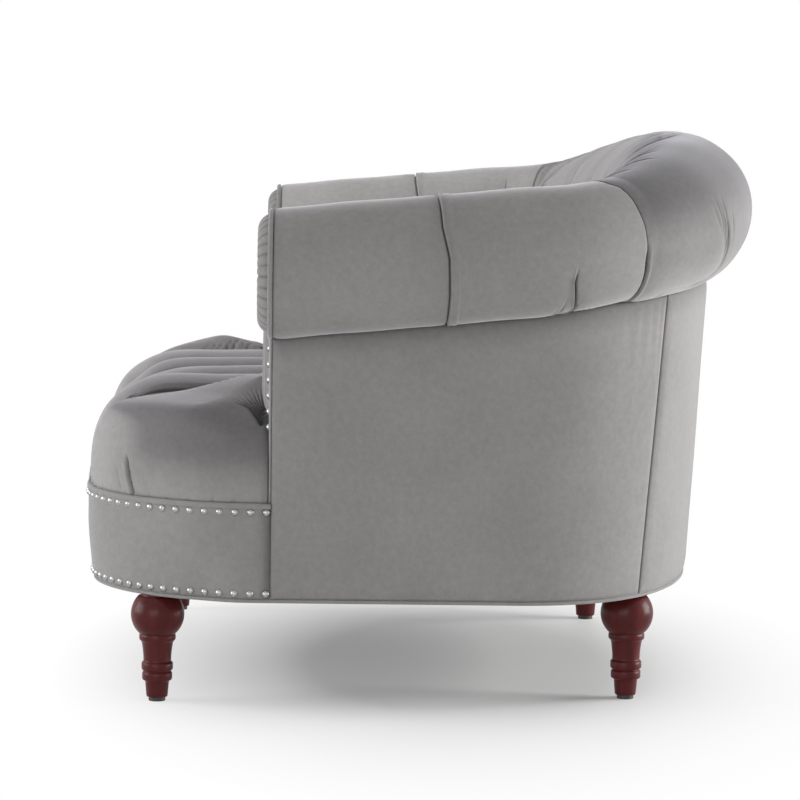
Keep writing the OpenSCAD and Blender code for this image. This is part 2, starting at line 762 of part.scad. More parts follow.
back_columns = [for (k = [-13 : 13]) k / 2];
module inside_back_pad() {
  angles = [for (c = back_columns) c * tuft_step];
  ends = seam_angle - 0.1;
  full = concat([-ends], angles, [ends]);
  cols = concat([-7], back_columns, [7]);
  front = [for (i = [0 : pad_rows])
    [for (j = [0 : len(full) - 1])
      let (st = bend_station(full[j]),
           dent = tuft_depth * max(tuft_dip(i, cols[j]), crease(i, cols[j])),
           room = i == pad_rows ? 0 : 1)
      pad_front(pad_foot(full[j]), st, i / pad_rows, dent * room * (i == 9 ? 0.5 : 1))]];
  back = [for (i = [0 : pad_rows])
    [for (a = full) pad_back(bend_station(a), i / pad_rows)]];
  color(velvet_dark) slab([for (r = front) reversed(r)], [for (r = back) reversed(r)]);
}

// Along the arm the pad's foot and top run at their own rates.
function arm_share(y) = (y - arm_front_y) / (turn_y - arm_front_y);
function arm_pad_foot(y) =
  [seat_half_w + 0.5, arm_front_y + arm_share(y) * (seat_turn_y - arm_front_y)];

// Columns of the arm pad: half a tuft column apart, counted from the arm's fold.
// Each has its foot, its station and its number; the last numbers lie in the bend.
arm_columns = concat(
  [[arm_pad_foot(arm_front_y), arm_station(arm_front_y), -2.9]],
  [for (j = [-5 : 2])
    let (y = arm_fold_y + j * tuft_gap / 2) [arm_pad_foot(y), arm_station(y), j / 2]],
  [for (j = [0 : len(arm_pad_angles) - 1])
    let (a = arm_pad_angles[j])
    [pad_foot(a), bend_station(a), j == 2 ? 2 : j == 1 || j == 3 ? 1.5 : 2.9]]);
function arm_dip(i, k) =
  k == round(k) ? (tuft_row(i) == abs(k) % 2 && !(i == 9 && k < 0) ? 1 : 0)
    : (i == 6 || i == 8) && (k == -1.5 || abs(k) == 0.5 || k == 1.5) ? 0.45 : 0;
function arm_pad_point(column, i) =
  pad_front(column[0], column[1], i / pad_rows,
    i == pad_rows ? 0 : arm_tuft * arm_dip(i, column[2]) * (i == 9 ? 0.5 : 1));
module inside_arm_pad_right() {
  front = [for (i = [0 : pad_rows]) [for (c = arm_columns) arm_pad_point(c, i)]];
  back = [for (i = [0 : pad_rows]) [for (c = arm_columns) pad_back(c[1], i / pad_rows)]];
  color(velvet_dark) slab(front, back);
}
module inside_arm_pad_left() { mirror([1, 0, 0]) inside_arm_pad_right(); }

// A covered button on a short stem, which ends just over the cover
stem_r = 1.6;
module button(stem) {
  translate([0, 0, -stem]) cylinder(h = stem + 0.5, r = stem_r, $fn = 24);
  rotate_extrude($fn = 32) polygon([[0, 0], [button_r, 0], [button_r, button_t * 0.4],
    [button_r * 0.8, button_t * 0.8], [button_r * 0.4, button_t], [0, button_t]]);
}

// Direction that a pad's face looks in, from two steps along it and two steps up it
function face_look(left, right, low, high) =
  let (n = cross(right - left, high - low)) n / norm(n);
function back_spot(angle, v, depth) = pad_front(pad_foot(angle), bend_station(angle), v, depth);
function back_look(angle, v) =
  face_look(back_spot(angle + 2, v, 0), back_spot(angle - 2, v, 0),
            back_spot(angle, v - 0.03, 0), back_spot(angle, v + 0.03, 0));
function arm_spot(y, v, depth) = pad_front(arm_pad_foot(y), arm_station(y), v, depth);
function arm_look(y, v) =
  face_look(arm_spot(y - 2, v, 0), arm_spot(y + 2, v, 0),
            arm_spot(y, v - 0.03, 0), arm_spot(y, v + 0.03, 0));

// The button lies over the bottom of its tuft and its stem ends just above it.
// The flatter tufts have stems that reach further in.
pad_button_lift = 11.5;
pad_stem = 9.8;
upper_back_reach = 0.8;
arm_reach = 0.55;
upper_arm_reach = 1.1;
module pad_button(spot, look, reach_in = 0) {
  translate(spot) rotate([0, acos(look[2]), atan2(look[1], look[0])])
    translate([0, 0, pad_button_lift]) button(pad_stem + reach_in);
}

even_columns = [-6, -4, -2, 0, 2, 4, 6];
odd_columns = [-5, -3, -1, 1, 3, 5];
module back_button_row(columns, i, depth, reach_in = 0) {
  for (c = columns)
    pad_button(back_spot(c * tuft_step, i / pad_rows, depth),
      -back_look(c * tuft_step, i / pad_rows), reach_in);
}
module back_buttons() {
  color(velvet) {
    back_button_row(even_columns, 5, tuft_depth);
    back_button_row(odd_columns, 7, tuft_depth);
    back_button_row(even_columns, 9, tuft_depth / 2, upper_back_reach);
  }
}

module arm_button_row(numbers, i, depth, reach_in = arm_reach) {
  for (k = numbers) {
    y = arm_fold_y + k * tuft_gap;
    pad_button(arm_spot(y, i / pad_rows, depth), -arm_look(y, i / pad_rows), reach_in);
  }
}
module arm_buttons() {
  color(velvet) for (s = [0, 1]) mirror([s, 0, 0]) {
    arm_button_row([-2, 0], 5, arm_tuft);
    arm_button_row([-1, 1], 7, arm_tuft);
    arm_button_row([0], 9, arm_tuft / 2, upper_arm_reach);
    for (i = [5, 9])
      pad_button(back_spot(tuft_angle, i / pad_rows, i == 9 ? arm_tuft / 2 : arm_tuft),
        -back_look(tuft_angle, i / pad_rows));
  }
}

// Seat

seat_front_inset = 5;
// Columns of the seat: quarters of the four channels, the ears' inner part
// between the arms, and their outer part in front of the arms
channels_half = 2 * channel_w;
inner_columns = concat([for (k = [1 : 8]) k * channel_w / 4],
  [for (k = [1 : 3]) channels_half + k * (seat_half_w - channels_half) / 3]);
outer_half = side_x - seat_front_inset;
ear_columns = [for (share = [0.35, 0.6, 0.78, 0.91, 1])
  seat_half_w + share * (outer_half - seat_half_w)];
right_columns = concat(inner_columns, ear_columns);
seat_columns = concat(reversed([for (x = right_columns) -x]), [0], right_columns);
ear_n = len(ear_columns);
ear_rear_y = arm_front_y - front_panel_t - 2 * fit;

function seat_front_y(x) =
  let (cx = side_x - corner_r, r = corner_r - seat_front_inset, ax = abs(x))
  ax > cx ? corner_y - sqrt(max(r * r - (ax - cx) * (ax - cx), 0))
          : corner_y - r - front_bow * (1 + cos(180 * ax / cx)) / 2;

// Profile of the front edge: share of the depth behind the seam, share of the rise
seat_profile = [[0, 0], [-0.015, 0.08], [-0.019, 0.2], [-0.012, 0.38], [0, 0.52],
                [0.026, 0.67], [0.055, 0.79], [0.115, 0.9], [0.215, 0.965], [0.36, 0.992],
                [0.6, 1], [1, 1]];
// The ears rise beside the outer grooves and fall away towards the sides.
ear_turn = side_x - 120;
function ear_height(x) =
  let (over = max(abs(x) - channels_half, 0))
  ear_lift * sin(180 * min(over / 160, 1)) - 0.55 * max(abs(x) - ear_turn, 0);
// Depth below the crown of a channel: most in its grooves
function groove(x) =
  let (deep = abs(cos(180 * abs(x) / channel_w)))
  abs(x) > channels_half + 1 ? 0 : abs(x) > channels_half - 1 ? ear_groove
    : groove_depth * (deep > 0.99 ? 1 : 0.28 * deep);

// A point of the front edge; at its two ends, beside the arms, it stands upright.
function seat_front_point(x, p) =
  let (y0 = seat_front_y(x), deep = ear_rear_y - y0,
       back = abs(x) > outer_half - 1 ? max(p[0], 0.05 * p[1]) : p[0],
       rise = seat_rise + ear_height(x),
       fade = max(p[1] - 0.5, 0) * 2)
  [x, y0 + deep * back, seat_seam_z + rise * p[1] - groove(x) * fade];

// Behind the arms' front the channels end in three rows of tufts.
seat_rows = [0.1, 0.25, 0.4, 0.55, 0.7, 0.85, 1];
function seat_rear_y(x) =
  seat_turn_y + seat_bow * pow(max(1 - pow(abs(x) / seat_half_w, squareness), 0),
    1 / squareness);
function quilt(x, i) =
  let (k = round(abs(x) / channel_w * 4) / 4,
       even = k == 0 || k == 1 || k == 2,
       odd = k == 0.5 || k == 1.5)
  abs(x) > channels_half + 1 ? 0
    : i == 0 ? (even ? 1.1 : 0)
    : i == 1 ? (even ? 1.5 : 0)
    : i == 3 ? (odd ? 1.5 : 0)
    : i == 5 ? (even && k < 2 ? 1.3 : 0)
    : (even || odd ? 0 : 0.8);
function seat_back_point(x, i) =
  let (share = seat_rows[i],
       y = ear_rear_y + share * (seat_rear_y(x) - ear_rear_y),
       edge = i == len(seat_rows) - 1 ? 18 : 0)
  [x, y, seat_seam_z + seat_rise + ear_height(x) * (1 - share) - 6 * share
    - groove_depth * quilt(x, i) - edge];

module seat_cushion() {
  n = len(seat_columns);
  front = [for (p = seat_profile) [for (x = seat_columns) seat_front_point(x, p)]];
  m = len(front);
  inner = [for (k = [ear_n : n - 1 - ear_n]) seat_columns[k]];
  w = len(inner);
  back = [for (i = [0 : len(seat_rows) - 1]) [for (x = inner) seat_back_point(x, i)]];
  // Row r of the rear part, where row 0 is shared with the front part
  function spot(r, k) = r == 0 ? (m - 1) * n + ear_n + k : m * n + (r - 1) * w + k;
  last = len(back);
  count = m * n + last * w;
  edge = concat(
    [for (i = [m - 1 : -1 : 0]) i * n + n - 1],
    [for (k = [n - 2 : -1 : 0]) k],
    [for (i = [1 : m - 1]) i * n],
    [for (k = [1 : ear_n]) (m - 1) * n + k],
    [for (r = [1 : last]) spot(r, 0)],
    [for (k = [1 : w - 1]) spot(last, k)],
    [for (r = [last - 1 : -1 : 0]) spot(r, w - 1)],
    [for (k = [ear_n - 1 : -1 : 1]) (m - 1) * n + n - 1 - k]);
  tops = concat([for (row = front) each row], [for (row = back) each row]);
  floor_points = [for (e = edge) [tops[e][0], tops[e][1], seat_seam_z]];
  // Edge points on the front seam lie on the floor already.
  function low(i) = tops[edge[i]][2] <= seat_seam_z ? edge[i] : count + i;
  centre = count + len(edge);
  total = len(edge);
  color(velvet) polyhedron(
    concat(tops, floor_points, [[0, ear_rear_y - 50, seat_seam_z]]),
    concat(
      [for (i = [0 : m - 2], k = [0 : n - 2]) each [
        [i * n + k, (i + 1) * n + k, i * n + k + 1],
        [(i + 1) * n + k, (i + 1) * n + k + 1, i * n + k + 1]]],
      [for (r = [0 : last - 1], k = [0 : w - 2]) each [
        [spot(r, k), spot(r + 1, k), spot(r, k + 1)],
        [spot(r + 1, k), spot(r + 1, k + 1), spot(r, k + 1)]]],
      [for (i = [0 : total - 1])
        let (a = edge[i], b = edge[(i + 1) % total],
             c = low(i), d = low((i + 1) % total))
        each concat(a == c ? [] : [[a, c, b]], b == d ? [] : [[b, c, d]])],
      [for (i = [0 : total - 1]) [low(i), centre, low((i + 1) % total)]]));
}

// Rows of the seat's tufts, with the grooves or crowns that hold them
seat_tufts = [[1, [-1, 0, 1]], [3, [-1.5, -0.5, 0.5, 1.5]], [5, [-1, 0, 1]]];
seat_button_lift = 8.6;
module seat_buttons() {
  color(velvet) for (row = seat_tufts, k = row[1])
    translate(seat_back_point(k * channel_w, row[0]) + [0, 0, seat_button_lift])
      button(seat_button_lift - 1.6);
}

// Outside covers

panel_bottom = base_z + base_welt + fit;
// A panel's column from a foot angle to a top angle, at depth d in from its outer face
function panel_column(angle, d, top_angle) =
  let (low = bend_station(angle), st = bend_station(top_angle),
       z = under_roll(st, top_reach(st, 0)) - 2,
       a = low[0] + foot_reach(low, d) * low[1], b = st[0] + top_reach(st, d) * st[1])
  [[a[0], a[1], panel_bottom], [b[0], b[1], z]];
function side_column(y, d) =
  let (st = arm_station(y),
       z = under_roll(st, side_x + panel_lean_x - roll_x) - 1.5)
  [[side_x - d, y, panel_bottom], [side_x + panel_lean_x - d, y, z]];

function side_grid(d) =
  let (columns = concat([for (y = [arm_front_y, arm_front_y / 2, 0, turn_y]) side_column(y, d)],
    [for (angle = [85, 78, 71, seam_angle + 0.2, seam_angle - 0.2])
      panel_column(angle, d, angle)],
    [for (share = [0.33, 0.67, 0.99])
      panel_column(seam_angle + share * (rear_seam_angle - seam_angle), d,
        seam_angle + share * (rear_seam_top - seam_angle))]))
  [reversed([for (c = columns) c[0]]), reversed([for (c = columns) c[1]])];

module outside_arm_panel_right() { color(velvet) slab(side_grid(0), side_grid(panel_t)); }
module outside_arm_panel_left() { mirror([1, 0, 0]) outside_arm_panel_right(); }

function back_grid(d) =
  let (shares = [for (k = [-12 : 12]) k / 12],
       columns = [for (share = shares)
         panel_column(share * (rear_seam_angle - 0.05), d, share * (rear_seam_top - 0.05))])
  [[for (c = columns) c[0]], [for (c = columns) c[1]]];
module outside_back_panel() { color(velvet) slab(back_grid(0), back_grid(panel_t)); }

band_end_y = arm_front_y - fit;
module front_band() {
  color(velvet) front_slab(0, band_t, band_end_y, panel_bottom, seat_seam_z - fit);
}

module band_strip() {
  color(velvet_dark) strip(band_chain(-strip_t, band_end_y), band_chain(0, band_end_y),
    seat_seam_z - fit - strip_h, strip_h);
}

module base_welt_cord() {
  color(velvet_dark) translate([0, 0, base_z]) linear_extrude(base_welt) difference() {
    polygon(base_plan(0));
    polygon(base_plan(base_welt + 1));
  }
}

// Front of the arms

facing_r = 76;
welt_ring = facing_r + fit + welt_r;

module arm_front_panel_right() {
  inner = [for (v = [0 : 0.1 : 1])
    let (p = arm_spot(arm_front_y, v, 0)) [p[0], p[2]]];
  top = inner[10];
  color(velvet) difference() {
    translate([0, arm_front_y - fit, 0]) rotate([90, 0, 0]) linear_extrude(front_panel_t)
      polygon(concat([[side_x - 1, top[1]], [side_x - 1, seat_seam_z + 0.5]], inner));
    translate([roll_x, arm_front_y + 1, arm_roll_z]) rotate([90, 0, 0])
      cylinder(h = front_panel_t + 3, r = welt_ring + welt_r + fit, $fn = 96);
  }
}
module arm_front_panel_left() { mirror([1, 0, 0]) arm_front_panel_right(); }

// A pleated disc: folds fan out from its middle and fade at the rim.
module pleated_disc() {
  n = facing_pleats * 3;
  rings = [0.24, 0.5, 0.78, 0.94, 1];
  function bulge(s) = facing_bulge * sqrt(max(1 - pow(s, 3) * 0.97, 0))
    - facing_dip * pow(max(1 - s / 0.45, 0), 2);
  function ring(s) = [for (j = [0 : n - 1])
    let (q = 360 * j / n, fold = j % 3 == 0 ? 2.4 * sin(180 * min(s, 0.9) / 0.9) : 0)
    [facing_r * s * cos(q), facing_r * s * sin(q), bulge(s) - fold]];
  rim = [for (j = [0 : n - 1]) [facing_r * cos(360 * j / n), facing_r * sin(360 * j / n), 0]];
  layers = concat([for (s = rings) ring(s)], [rim]);
  m = len(layers);
  polyhedron(
    concat([for (l = layers) each l], [[0, 0, facing_bulge - facing_dip], [0, 0, 0]]),
    concat(
      [for (i = [0 : m - 2], j = [0 : n - 1]) each [
        [i * n + j, i * n + (j + 1) % n, (i + 1) * n + j],
        [(i + 1) * n + j, i * n + (j + 1) % n, (i + 1) * n + (j + 1) % n]]],
      [for (j = [0 : n - 1]) [m * n, (j + 1) % n, j]],
      [for (j = [0 : n - 1]) [m * n + 1, (m - 1) * n + j, (m - 1) * n + (j + 1) % n]]));
}

module on_arm_face(y) {
  translate([roll_x, y, arm_roll_z]) rotate([90, 0, 0]) children();
}
module arm_facing_right() { color(velvet) on_arm_face(arm_front_y - fit) pleated_disc(); }
module arm_facing_left() { mirror([1, 0, 0]) arm_facing_right(); }

module facing_welt_right() {
  color(velvet_dark) on_arm_face(arm_front_y - fit - welt_r)
    rotate_extrude($fn = 96) translate([welt_ring, 0]) circle(welt_r, $fn = 24);
}
module facing_welt_left() { mirror([1, 0, 0]) facing_welt_right(); }

module facing_button_right() {
  color(velvet) on_arm_face(arm_front_y - facing_bulge + facing_dip - 5) button(4);
}
module facing_button_left() { mirror([1, 0, 0]) facing_button_right(); }

// Nails

// A nail head: a low dome with its flat side on the cover
module nail() {
  ball = (nail_r * nail_r + nail_h * nail_h) / (2 * nail_h);
  intersection() {
    translate([0, 0, nail_h - ball]) sphere(ball, $fn = 32);
    cylinder(h = nail_h + 1, r = nail_r + 1, $fn = 32);
  }
}

module nail_row(z) {
  route = band_chain(0, band_end_y, z + nail_r);
  length = chain_length(route);
  count = floor((length - 2 * nail_r) / nail_pitch);
  first = (length - (count - 1) * nail_pitch) / 2;
  for (i = [0 : count - 1]) {
    spot = along(route, first + i * nail_pitch);
    translate([spot[0][0], spot[0][1], z])
      rotate([0, 0, atan2(spot[1][1], spot[1][0])]) rotate([-90, 0, 0])
        translate([0, 0, 0.2]) nail();
  }
}
module nails_lower_row() { color("silver") nail_row(base_z + nail_low); }
module nails_upper_row() { color("silver") nail_row(seat_seam_z - nail_drop); }

module nails_arm_right() {
  top = arm_roll_z - welt_ring - welt_r - 14;
  x = side_x - 1 - nail_r - 5;
  color("silver") for (i = [0 : arm_nails - 1])
    translate([x, arm_front_y - front_panel_t - fit, top - i * nail_pitch])
      rotate([90, 0, 0]) nail();
}
module nails_arm_left() { mirror([1, 0, 0]) nails_arm_right(); }

leg_front_left();
leg_front_right();
leg_rear_left();
leg_rear_right();
leg_glides();
hanger_bolts();
tee_nuts();
base_board();
front_rail();
side_rail_left();
side_rail_right();
rear_rail();
corner_blocks();
spring_rail_front();
spring_rail_rear();
seat_springs();
spring_clips();
seat_burlap();
dust_cover();
dust_cover_staples();
arm_post_left();
arm_post_right();
arm_top_rail_left();
arm_top_rail_right();
back_top_rail();
back_posts();
inner_shell_left();
inner_shell_right();
inner_back_shell();
seat_cushion();
seat_buttons();
inside_arm_pad_left();
inside_arm_pad_right();
inside_back_pad();
arm_buttons();
back_buttons();
arm_roll_left();
arm_roll_right();
back_roll();
outside_arm_panel_left();
outside_arm_panel_right();
outside_back_panel();
front_band();
band_strip();
base_welt_cord();
arm_front_panel_left();
arm_front_panel_right();
arm_facing_left();
arm_facing_right();
facing_welt_left();
facing_welt_right();
facing_button_left();
facing_button_right();
nails_lower_row();
nails_upper_row();
nails_arm_left();
nails_arm_right();
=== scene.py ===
from collections import namedtuple
import math

import bpy
import numpy as np
from mathutils import Matrix, Vector


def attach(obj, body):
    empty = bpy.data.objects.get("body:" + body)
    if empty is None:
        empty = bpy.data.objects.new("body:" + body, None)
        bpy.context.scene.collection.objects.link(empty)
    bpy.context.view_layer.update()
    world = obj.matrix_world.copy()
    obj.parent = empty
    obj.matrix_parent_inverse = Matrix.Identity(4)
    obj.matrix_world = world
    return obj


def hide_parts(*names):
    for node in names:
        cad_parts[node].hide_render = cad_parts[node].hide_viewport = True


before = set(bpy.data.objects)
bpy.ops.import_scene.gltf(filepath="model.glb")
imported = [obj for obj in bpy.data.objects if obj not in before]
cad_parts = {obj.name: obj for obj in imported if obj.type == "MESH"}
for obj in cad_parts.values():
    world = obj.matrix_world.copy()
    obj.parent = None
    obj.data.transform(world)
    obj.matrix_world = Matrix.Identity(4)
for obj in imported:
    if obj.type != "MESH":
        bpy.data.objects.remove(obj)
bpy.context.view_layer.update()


# Turned legs
# Four mahogany-stained beech legs, turned on a lathe and lacquered to a gloss.
# Each one screws up into the base board on its own hanger bolt.

def add_piece(name, points, faces, material, painted_shading=None, mirrored=False):
    """A mesh that rides on the chair, from points in millimetres, or its mirror image for the
    left. Cloth may carry painted light and shade from point to point: a value of 0 leaves it as it is."""
    if mirrored:
        points = points * (-1, 1, 1)
        faces = [f[::-1] for f in faces]
    mesh = bpy.data.meshes.new(name)
    metres = np.asarray(points, float) * 0.001
    mesh.from_pydata(metres.tolist(), [], [list(map(int, f)) for f in faces])
    mesh.update()
    mesh.shade_smooth()
    if painted_shading is not None:
        values = np.zeros(len(points))
        values[:painted_shading.size] = painted_shading.reshape(-1)
        mesh.attributes.new("painted_shading", "FLOAT", "POINT").data.foreach_set("value", values)
    mesh.materials.append(material)
    piece = bpy.data.objects.new(name, mesh)
    bpy.context.scene.collection.objects.link(piece)
    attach(piece, "root")
    return piece


def grid_faces(rows, columns, first=0, wrap=False, flip=False):
    """Quads between the points of a grid, which may close on itself along its columns."""
    i, j = np.meshgrid(np.arange(rows - 1), np.arange(columns if wrap else columns - 1), indexing="ij")
    a = first + i * columns + j
    b = first + i * columns + (j + 1) % columns
    quads = np.stack([a, b, b + columns, a + columns], -1).reshape(-1, 4)
    return (quads[:, ::-1] if flip else quads).tolist()


def lathe(profile, steps=72):
    """Points and faces of a turned form round Z, from (radius, height) pairs going up."""
    turn = np.linspace(0, 2 * np.pi, steps, endpoint=False)
    profile = np.asarray(profile, float)
    ring = np.stack([np.cos(turn), np.sin(turn)], -1)
    heights = np.repeat(profile[:, None, 1:2], steps, 1)
    points = np.concatenate([profile[:, None, 0:1] * ring[None], heights], -1).reshape(-1, 3)
    faces = grid_faces(len(profile), steps, wrap=True)
    faces.append(list(range(steps))[::-1])
    faces.append(list(range((len(profile) - 1) * steps, len(profile) * steps)))
    return points, faces


def new_material(name):
    """A material with one Principled shader, with its node tree and that shader."""
    material = bpy.data.materials.new(name)
    material.use_nodes = True
    tree = material.node_tree
    return material, tree, tree.nodes["Principled BSDF"]


def plug(tree, node, inputs):
    """Sets inputs of a node to values, or links them to other nodes' output sockets."""
    for name, value in inputs.items():
        if isinstance(value, bpy.types.NodeSocket):
            tree.links.new(value, node.inputs[name])
        else:
            node.inputs[name].default_value = value


def add_node(tree, kind, inputs, **settings):
    """A shader node of a kind, with its settings and inputs."""
    node = tree.nodes.new("ShaderNode" + kind)
    for name, value in settings.items():
        setattr(node, name, value)
    plug(tree, node, inputs)
    return node


# Unevenness for every material: a noise in the chair's own coordinates, stretched as asked
uneven = bpy.data.node_groups.new("uneven", "ShaderNodeTree")
for title, kind in (("Scale", "Float"), ("Detail", "Float"), ("Roughness", "Float"), ("Stretch", "Vector")):
    uneven.interface.new_socket(name=title, in_out="INPUT", socket_type="NodeSocket" + kind)
uneven.interface.new_socket(name="Level", in_out="OUTPUT", socket_type="NodeSocketFloat")
asked = uneven.nodes.new("NodeGroupInput").outputs
own_place = add_node(uneven, "TexCoord", {}).outputs["Object"]
stretched = add_node(uneven, "Mapping", {"Vector": own_place, "Scale": asked["Stretch"]})
texture = add_node(uneven, "TexNoise", {
    "Vector": stretched.outputs["Vector"],
    "Scale": asked["Scale"],
    "Detail": asked["Detail"],
    "Roughness": asked["Roughness"]})
plug(uneven, uneven.nodes.new("NodeGroupOutput"), {"Level": texture.outputs["Fac"]})


def noise(tree, scale, detail=2.0, stretch=(1.0, 1.0, 1.0), roughness=0.5):
    """The unevenness in one material, by its own values; its level socket."""
    values = {"Scale": scale, "Detail": detail, "Roughness": roughness, "Stretch": stretch}
    return add_node(tree, "Group", values, node_tree=uneven).outputs["Level"]


def remap(tree, value, low, high, new_low=0.0, new_high=1.0):
    """A value mapped from one range to another, and kept inside it."""
    inputs = {"Value": value, "From Min": low, "From Max": high, "To Min": new_low, "To Max": new_high}
    return add_node(tree, "MapRange", inputs).outputs["Result"]


def mix_colour(tree, factor, first, second):
    """A colour between two others, by a factor socket."""
    inputs = {"Factor": factor, "A": (*first, 1.0), "B": (*second, 1.0)}
    return add_node(tree, "Mix", inputs, data_type="RGBA").outputs["Result"]


def add_bump(tree, shader, height, distance, strength):
    """Bump on a shader from a height socket; the distance is in metres."""
    bump = add_node(tree, "Bump", {"Distance": distance, "Strength": strength, "Height": height})
    plug(tree, shader, {"Normal": bump.outputs["Normal"]})


# Grain of the stained wood: long streaks along the leg, with fine pores between them
mahogany, tree, shader = new_material("mahogany")
streaks = remap(tree, noise(tree, 22, 4, (3.0, 3.0, 0.35)), 0.3, 0.7)
pores = remap(tree, noise(tree, 180, 2, (4.0, 4.0, 0.25)), 0.35, 0.65)
plug(tree, shader, {
    "Base Color": mix_colour(tree, streaks, (0.048, 0.0066, 0.0068), (0.08, 0.0122, 0.0118)),
    "Roughness": remap(tree, pores, 0, 1, 0.3, 0.42),
    "Specular IOR Level": 0.1,
    "Coat Weight": 0.1,
    "Coat Roughness": 0.2})
add_bump(tree, shader, pores, 0.0002, 0.15)

leg_top = 140.0
ball_radius = 34.6
ball_middle = 113.5
ball_arc = [(ball_radius * math.cos(q), ball_middle + ball_radius * math.sin(q))
            for q in np.radians(np.linspace(-47, 43, 26))]
leg_profile = [
    (11.9, 5.0), (13.2, 5.3), (13.9, 6.6), (14.3, 12.0), (15.0, 20.0), (15.5, 25.6), (16.1, 26.4),
    (17.6, 26.8), (18.9, 27.6), (19.5, 29.2), (19.5, 35.6), (19.2, 37.0), (18.2, 38.2), (17.4, 38.9),
    (17.5, 39.3), (19.2, 40.1), (20.1, 41.2), (20.4, 42.6), (20.4, 48.8), (20.0, 50.0), (19.0, 51.0),
    (18.1, 51.6), (17.9, 53.2), (18.2, 60.0), (19.0, 68.0), (20.2, 76.0), (21.4, 78.4), (22.6, 79.3),
    (23.4, 80.4), (23.7, 82.0), (23.7, 85.4), (23.3, 86.8), (22.8, 87.5)] + ball_arc + [
    (22.9, 137.4), (22.2, 138.2), (22.0, 139.0), (22.0, leg_top)]
# Each leg is turned on its screw until it is tight, so their grain doesn't line up
tightened_by = 1.3
leg_spots = {
    "leg_front_left": (-374, -342), "leg_front_right": (374, -342),
    "leg_rear_left": (-326, 271), "leg_rear_right": (326, 271)}
leg_points, leg_faces = lathe(leg_profile)
for number, (node, spot) in enumerate(leg_spots.items()):
    turned = leg_points @ np.array(Matrix.Rotation(tightened_by * number, 3, "Z")).T
    leg = add_piece("turned_" + node, turned + (*spot, 0), leg_faces, mahogany)
    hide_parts(node)


# Glides, bolts and the wooden frame
# Black plastic glides under the legs, zinc-plated bolts and tee nuts, and the
# raw birch frame that is screwed and glued together inside the covers.

def two_tone(name, texture, dark, light, roughness, contrast=None, bump=None, metallic=0.0):
    """A material whose colour runs between two tones by a noise texture. Its roughness is one
    value, or two between which it follows the texture; bump is its distance and strength."""
    material, tree, shader = new_material(name)
    grain = noise(tree, *texture)
    tone = remap(tree, grain, *contrast) if contrast else grain
    if isinstance(roughness, tuple):
        roughness = remap(tree, grain, 0.3, 0.7, *roughness)
    colour = mix_colour(tree, tone, dark, light)
    plug(tree, shader, {"Base Color": colour, "Roughness": roughness, "Metallic": metallic})
    if bump:
        add_bump(tree, shader, grain, *bump)
    return material


glide_black = two_tone("glide_plastic", (900, 2), (0.008, 0.008, 0.008), (0.02, 0.02, 0.021), (0.45, 0.6))
zinc = two_tone("zinc_steel", (400, 3), (0.5, 0.5, 0.52), (0.66, 0.66, 0.68), (0.25, 0.42), metallic=1.0)
birch = two_tone("raw_birch", (14, 4, (1.0, 4.0, 9.0)), (0.46, 0.3, 0.16), (0.66, 0.49, 0.3), 0.7,
                 contrast=(0.3, 0.7), bump=(0.0005, 0.2))
jute = two_tone("burlap", (500, 1, (1.0, 4.0, 1.0)), (0.3, 0.21, 0.1), (0.55, 0.42, 0.24), 0.95,
                contrast=(0.35, 0.65), bump=(0.0008, 0.5))
dust_black = two_tone("dust_cloth", (700, 3), (0.008, 0.008, 0.009), (0.024, 0.024, 0.026), 0.9,
                      bump=(0.0005, 0.3))

hidden_looks = {
    glide_black: ["leg_glides"],
    zinc: ["hanger_bolts", "tee_nuts", "seat_springs", "spring_clips", "dust_cover_staples"],
    birch: ["base_board", "front_rail", "side_rail_left", "side_rail_right", "rear_rail", "corner_blocks",
            "spring_rail_front", "spring_rail_rear", "arm_post_left", "arm_post_right",
            "arm_top_rail_left", "arm_top_rail_right", "back_top_rail", "back_posts",
            "inner_shell_left", "inner_shell_right", "inner_back_shell"],
    jute: ["seat_burlap"],
    dust_black: ["dust_cover"]}
for material, nodes in hidden_looks.items():
    for node in nodes:
        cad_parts[node].data.materials.clear()
        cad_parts[node].data.materials.append(material)


# Tight seat
# One stuffed seat in grey velvet, tied down in four channels that end in buttoned
# tufts, with a fuller ear on either side in front of the arms.

def math_node(tree, operation, first, second):
    """The result of one sum, product or the like of two sockets or numbers."""
    return add_node(tree, "Math", {0: first, 1: second}, operation=operation).outputs["Value"]


nap_share = 0.3
mottle_share = 0.45
fibre_share = 0.25

# The pile of the cloth: patches that lie differently, fine mottling, and single fibres
velvet, tree, shader = new_material("grey_velvet")
nap = remap(tree, noise(tree, 7, 3), 0.3, 0.7)
mottle = remap(tree, noise(tree, 110, 4, roughness=0.65), 0.25, 0.75)
fibres = noise(tree, 1100, 2)
shade = math_node(tree, "MULTIPLY", nap, nap_share)
for layer, share in ((mottle, mottle_share), (fibres, fibre_share)):
    shade = math_node(tree, "ADD", shade, math_node(tree, "MULTIPLY", layer, share))
# Painted light and shade: the cloth is made lighter or darker by each point's painted value, and a little
# cooler where it is painted dark
painted_values = add_node(tree, "Attribute", {}, attribute_name="painted_shading")
level = math_node(tree, "ADD", painted_values.outputs["Fac"], 1.0)
painted_shade_tint = mix_colour(tree, remap(tree, level, 0.6, 1.0), (0.982, 0.972, 1.012), (1.0, 1.0, 1.0))
base = mix_colour(tree, shade, (0.168, 0.164, 0.158), (0.253, 0.248, 0.241))
shaded = add_node(tree, "VectorMath", {0: base, "Scale": level}, operation="SCALE")
tinted = add_node(tree, "VectorMath", {0: shaded.outputs["Vector"], 1: painted_shade_tint}, operation="MULTIPLY")
plug(tree, shader, {
    "Base Color": tinted.outputs["Vector"],
    "Roughness": 0.85,
    "Specular IOR Level": 0.1,
    "Sheen Weight": 0.42,
    "Sheen Roughness": 0.34,
    "Sheen Tint": (0.95, 0.94, 1.0, 1.0)})
add_bump(tree, shader, fibres, 0.0006, 0.35)


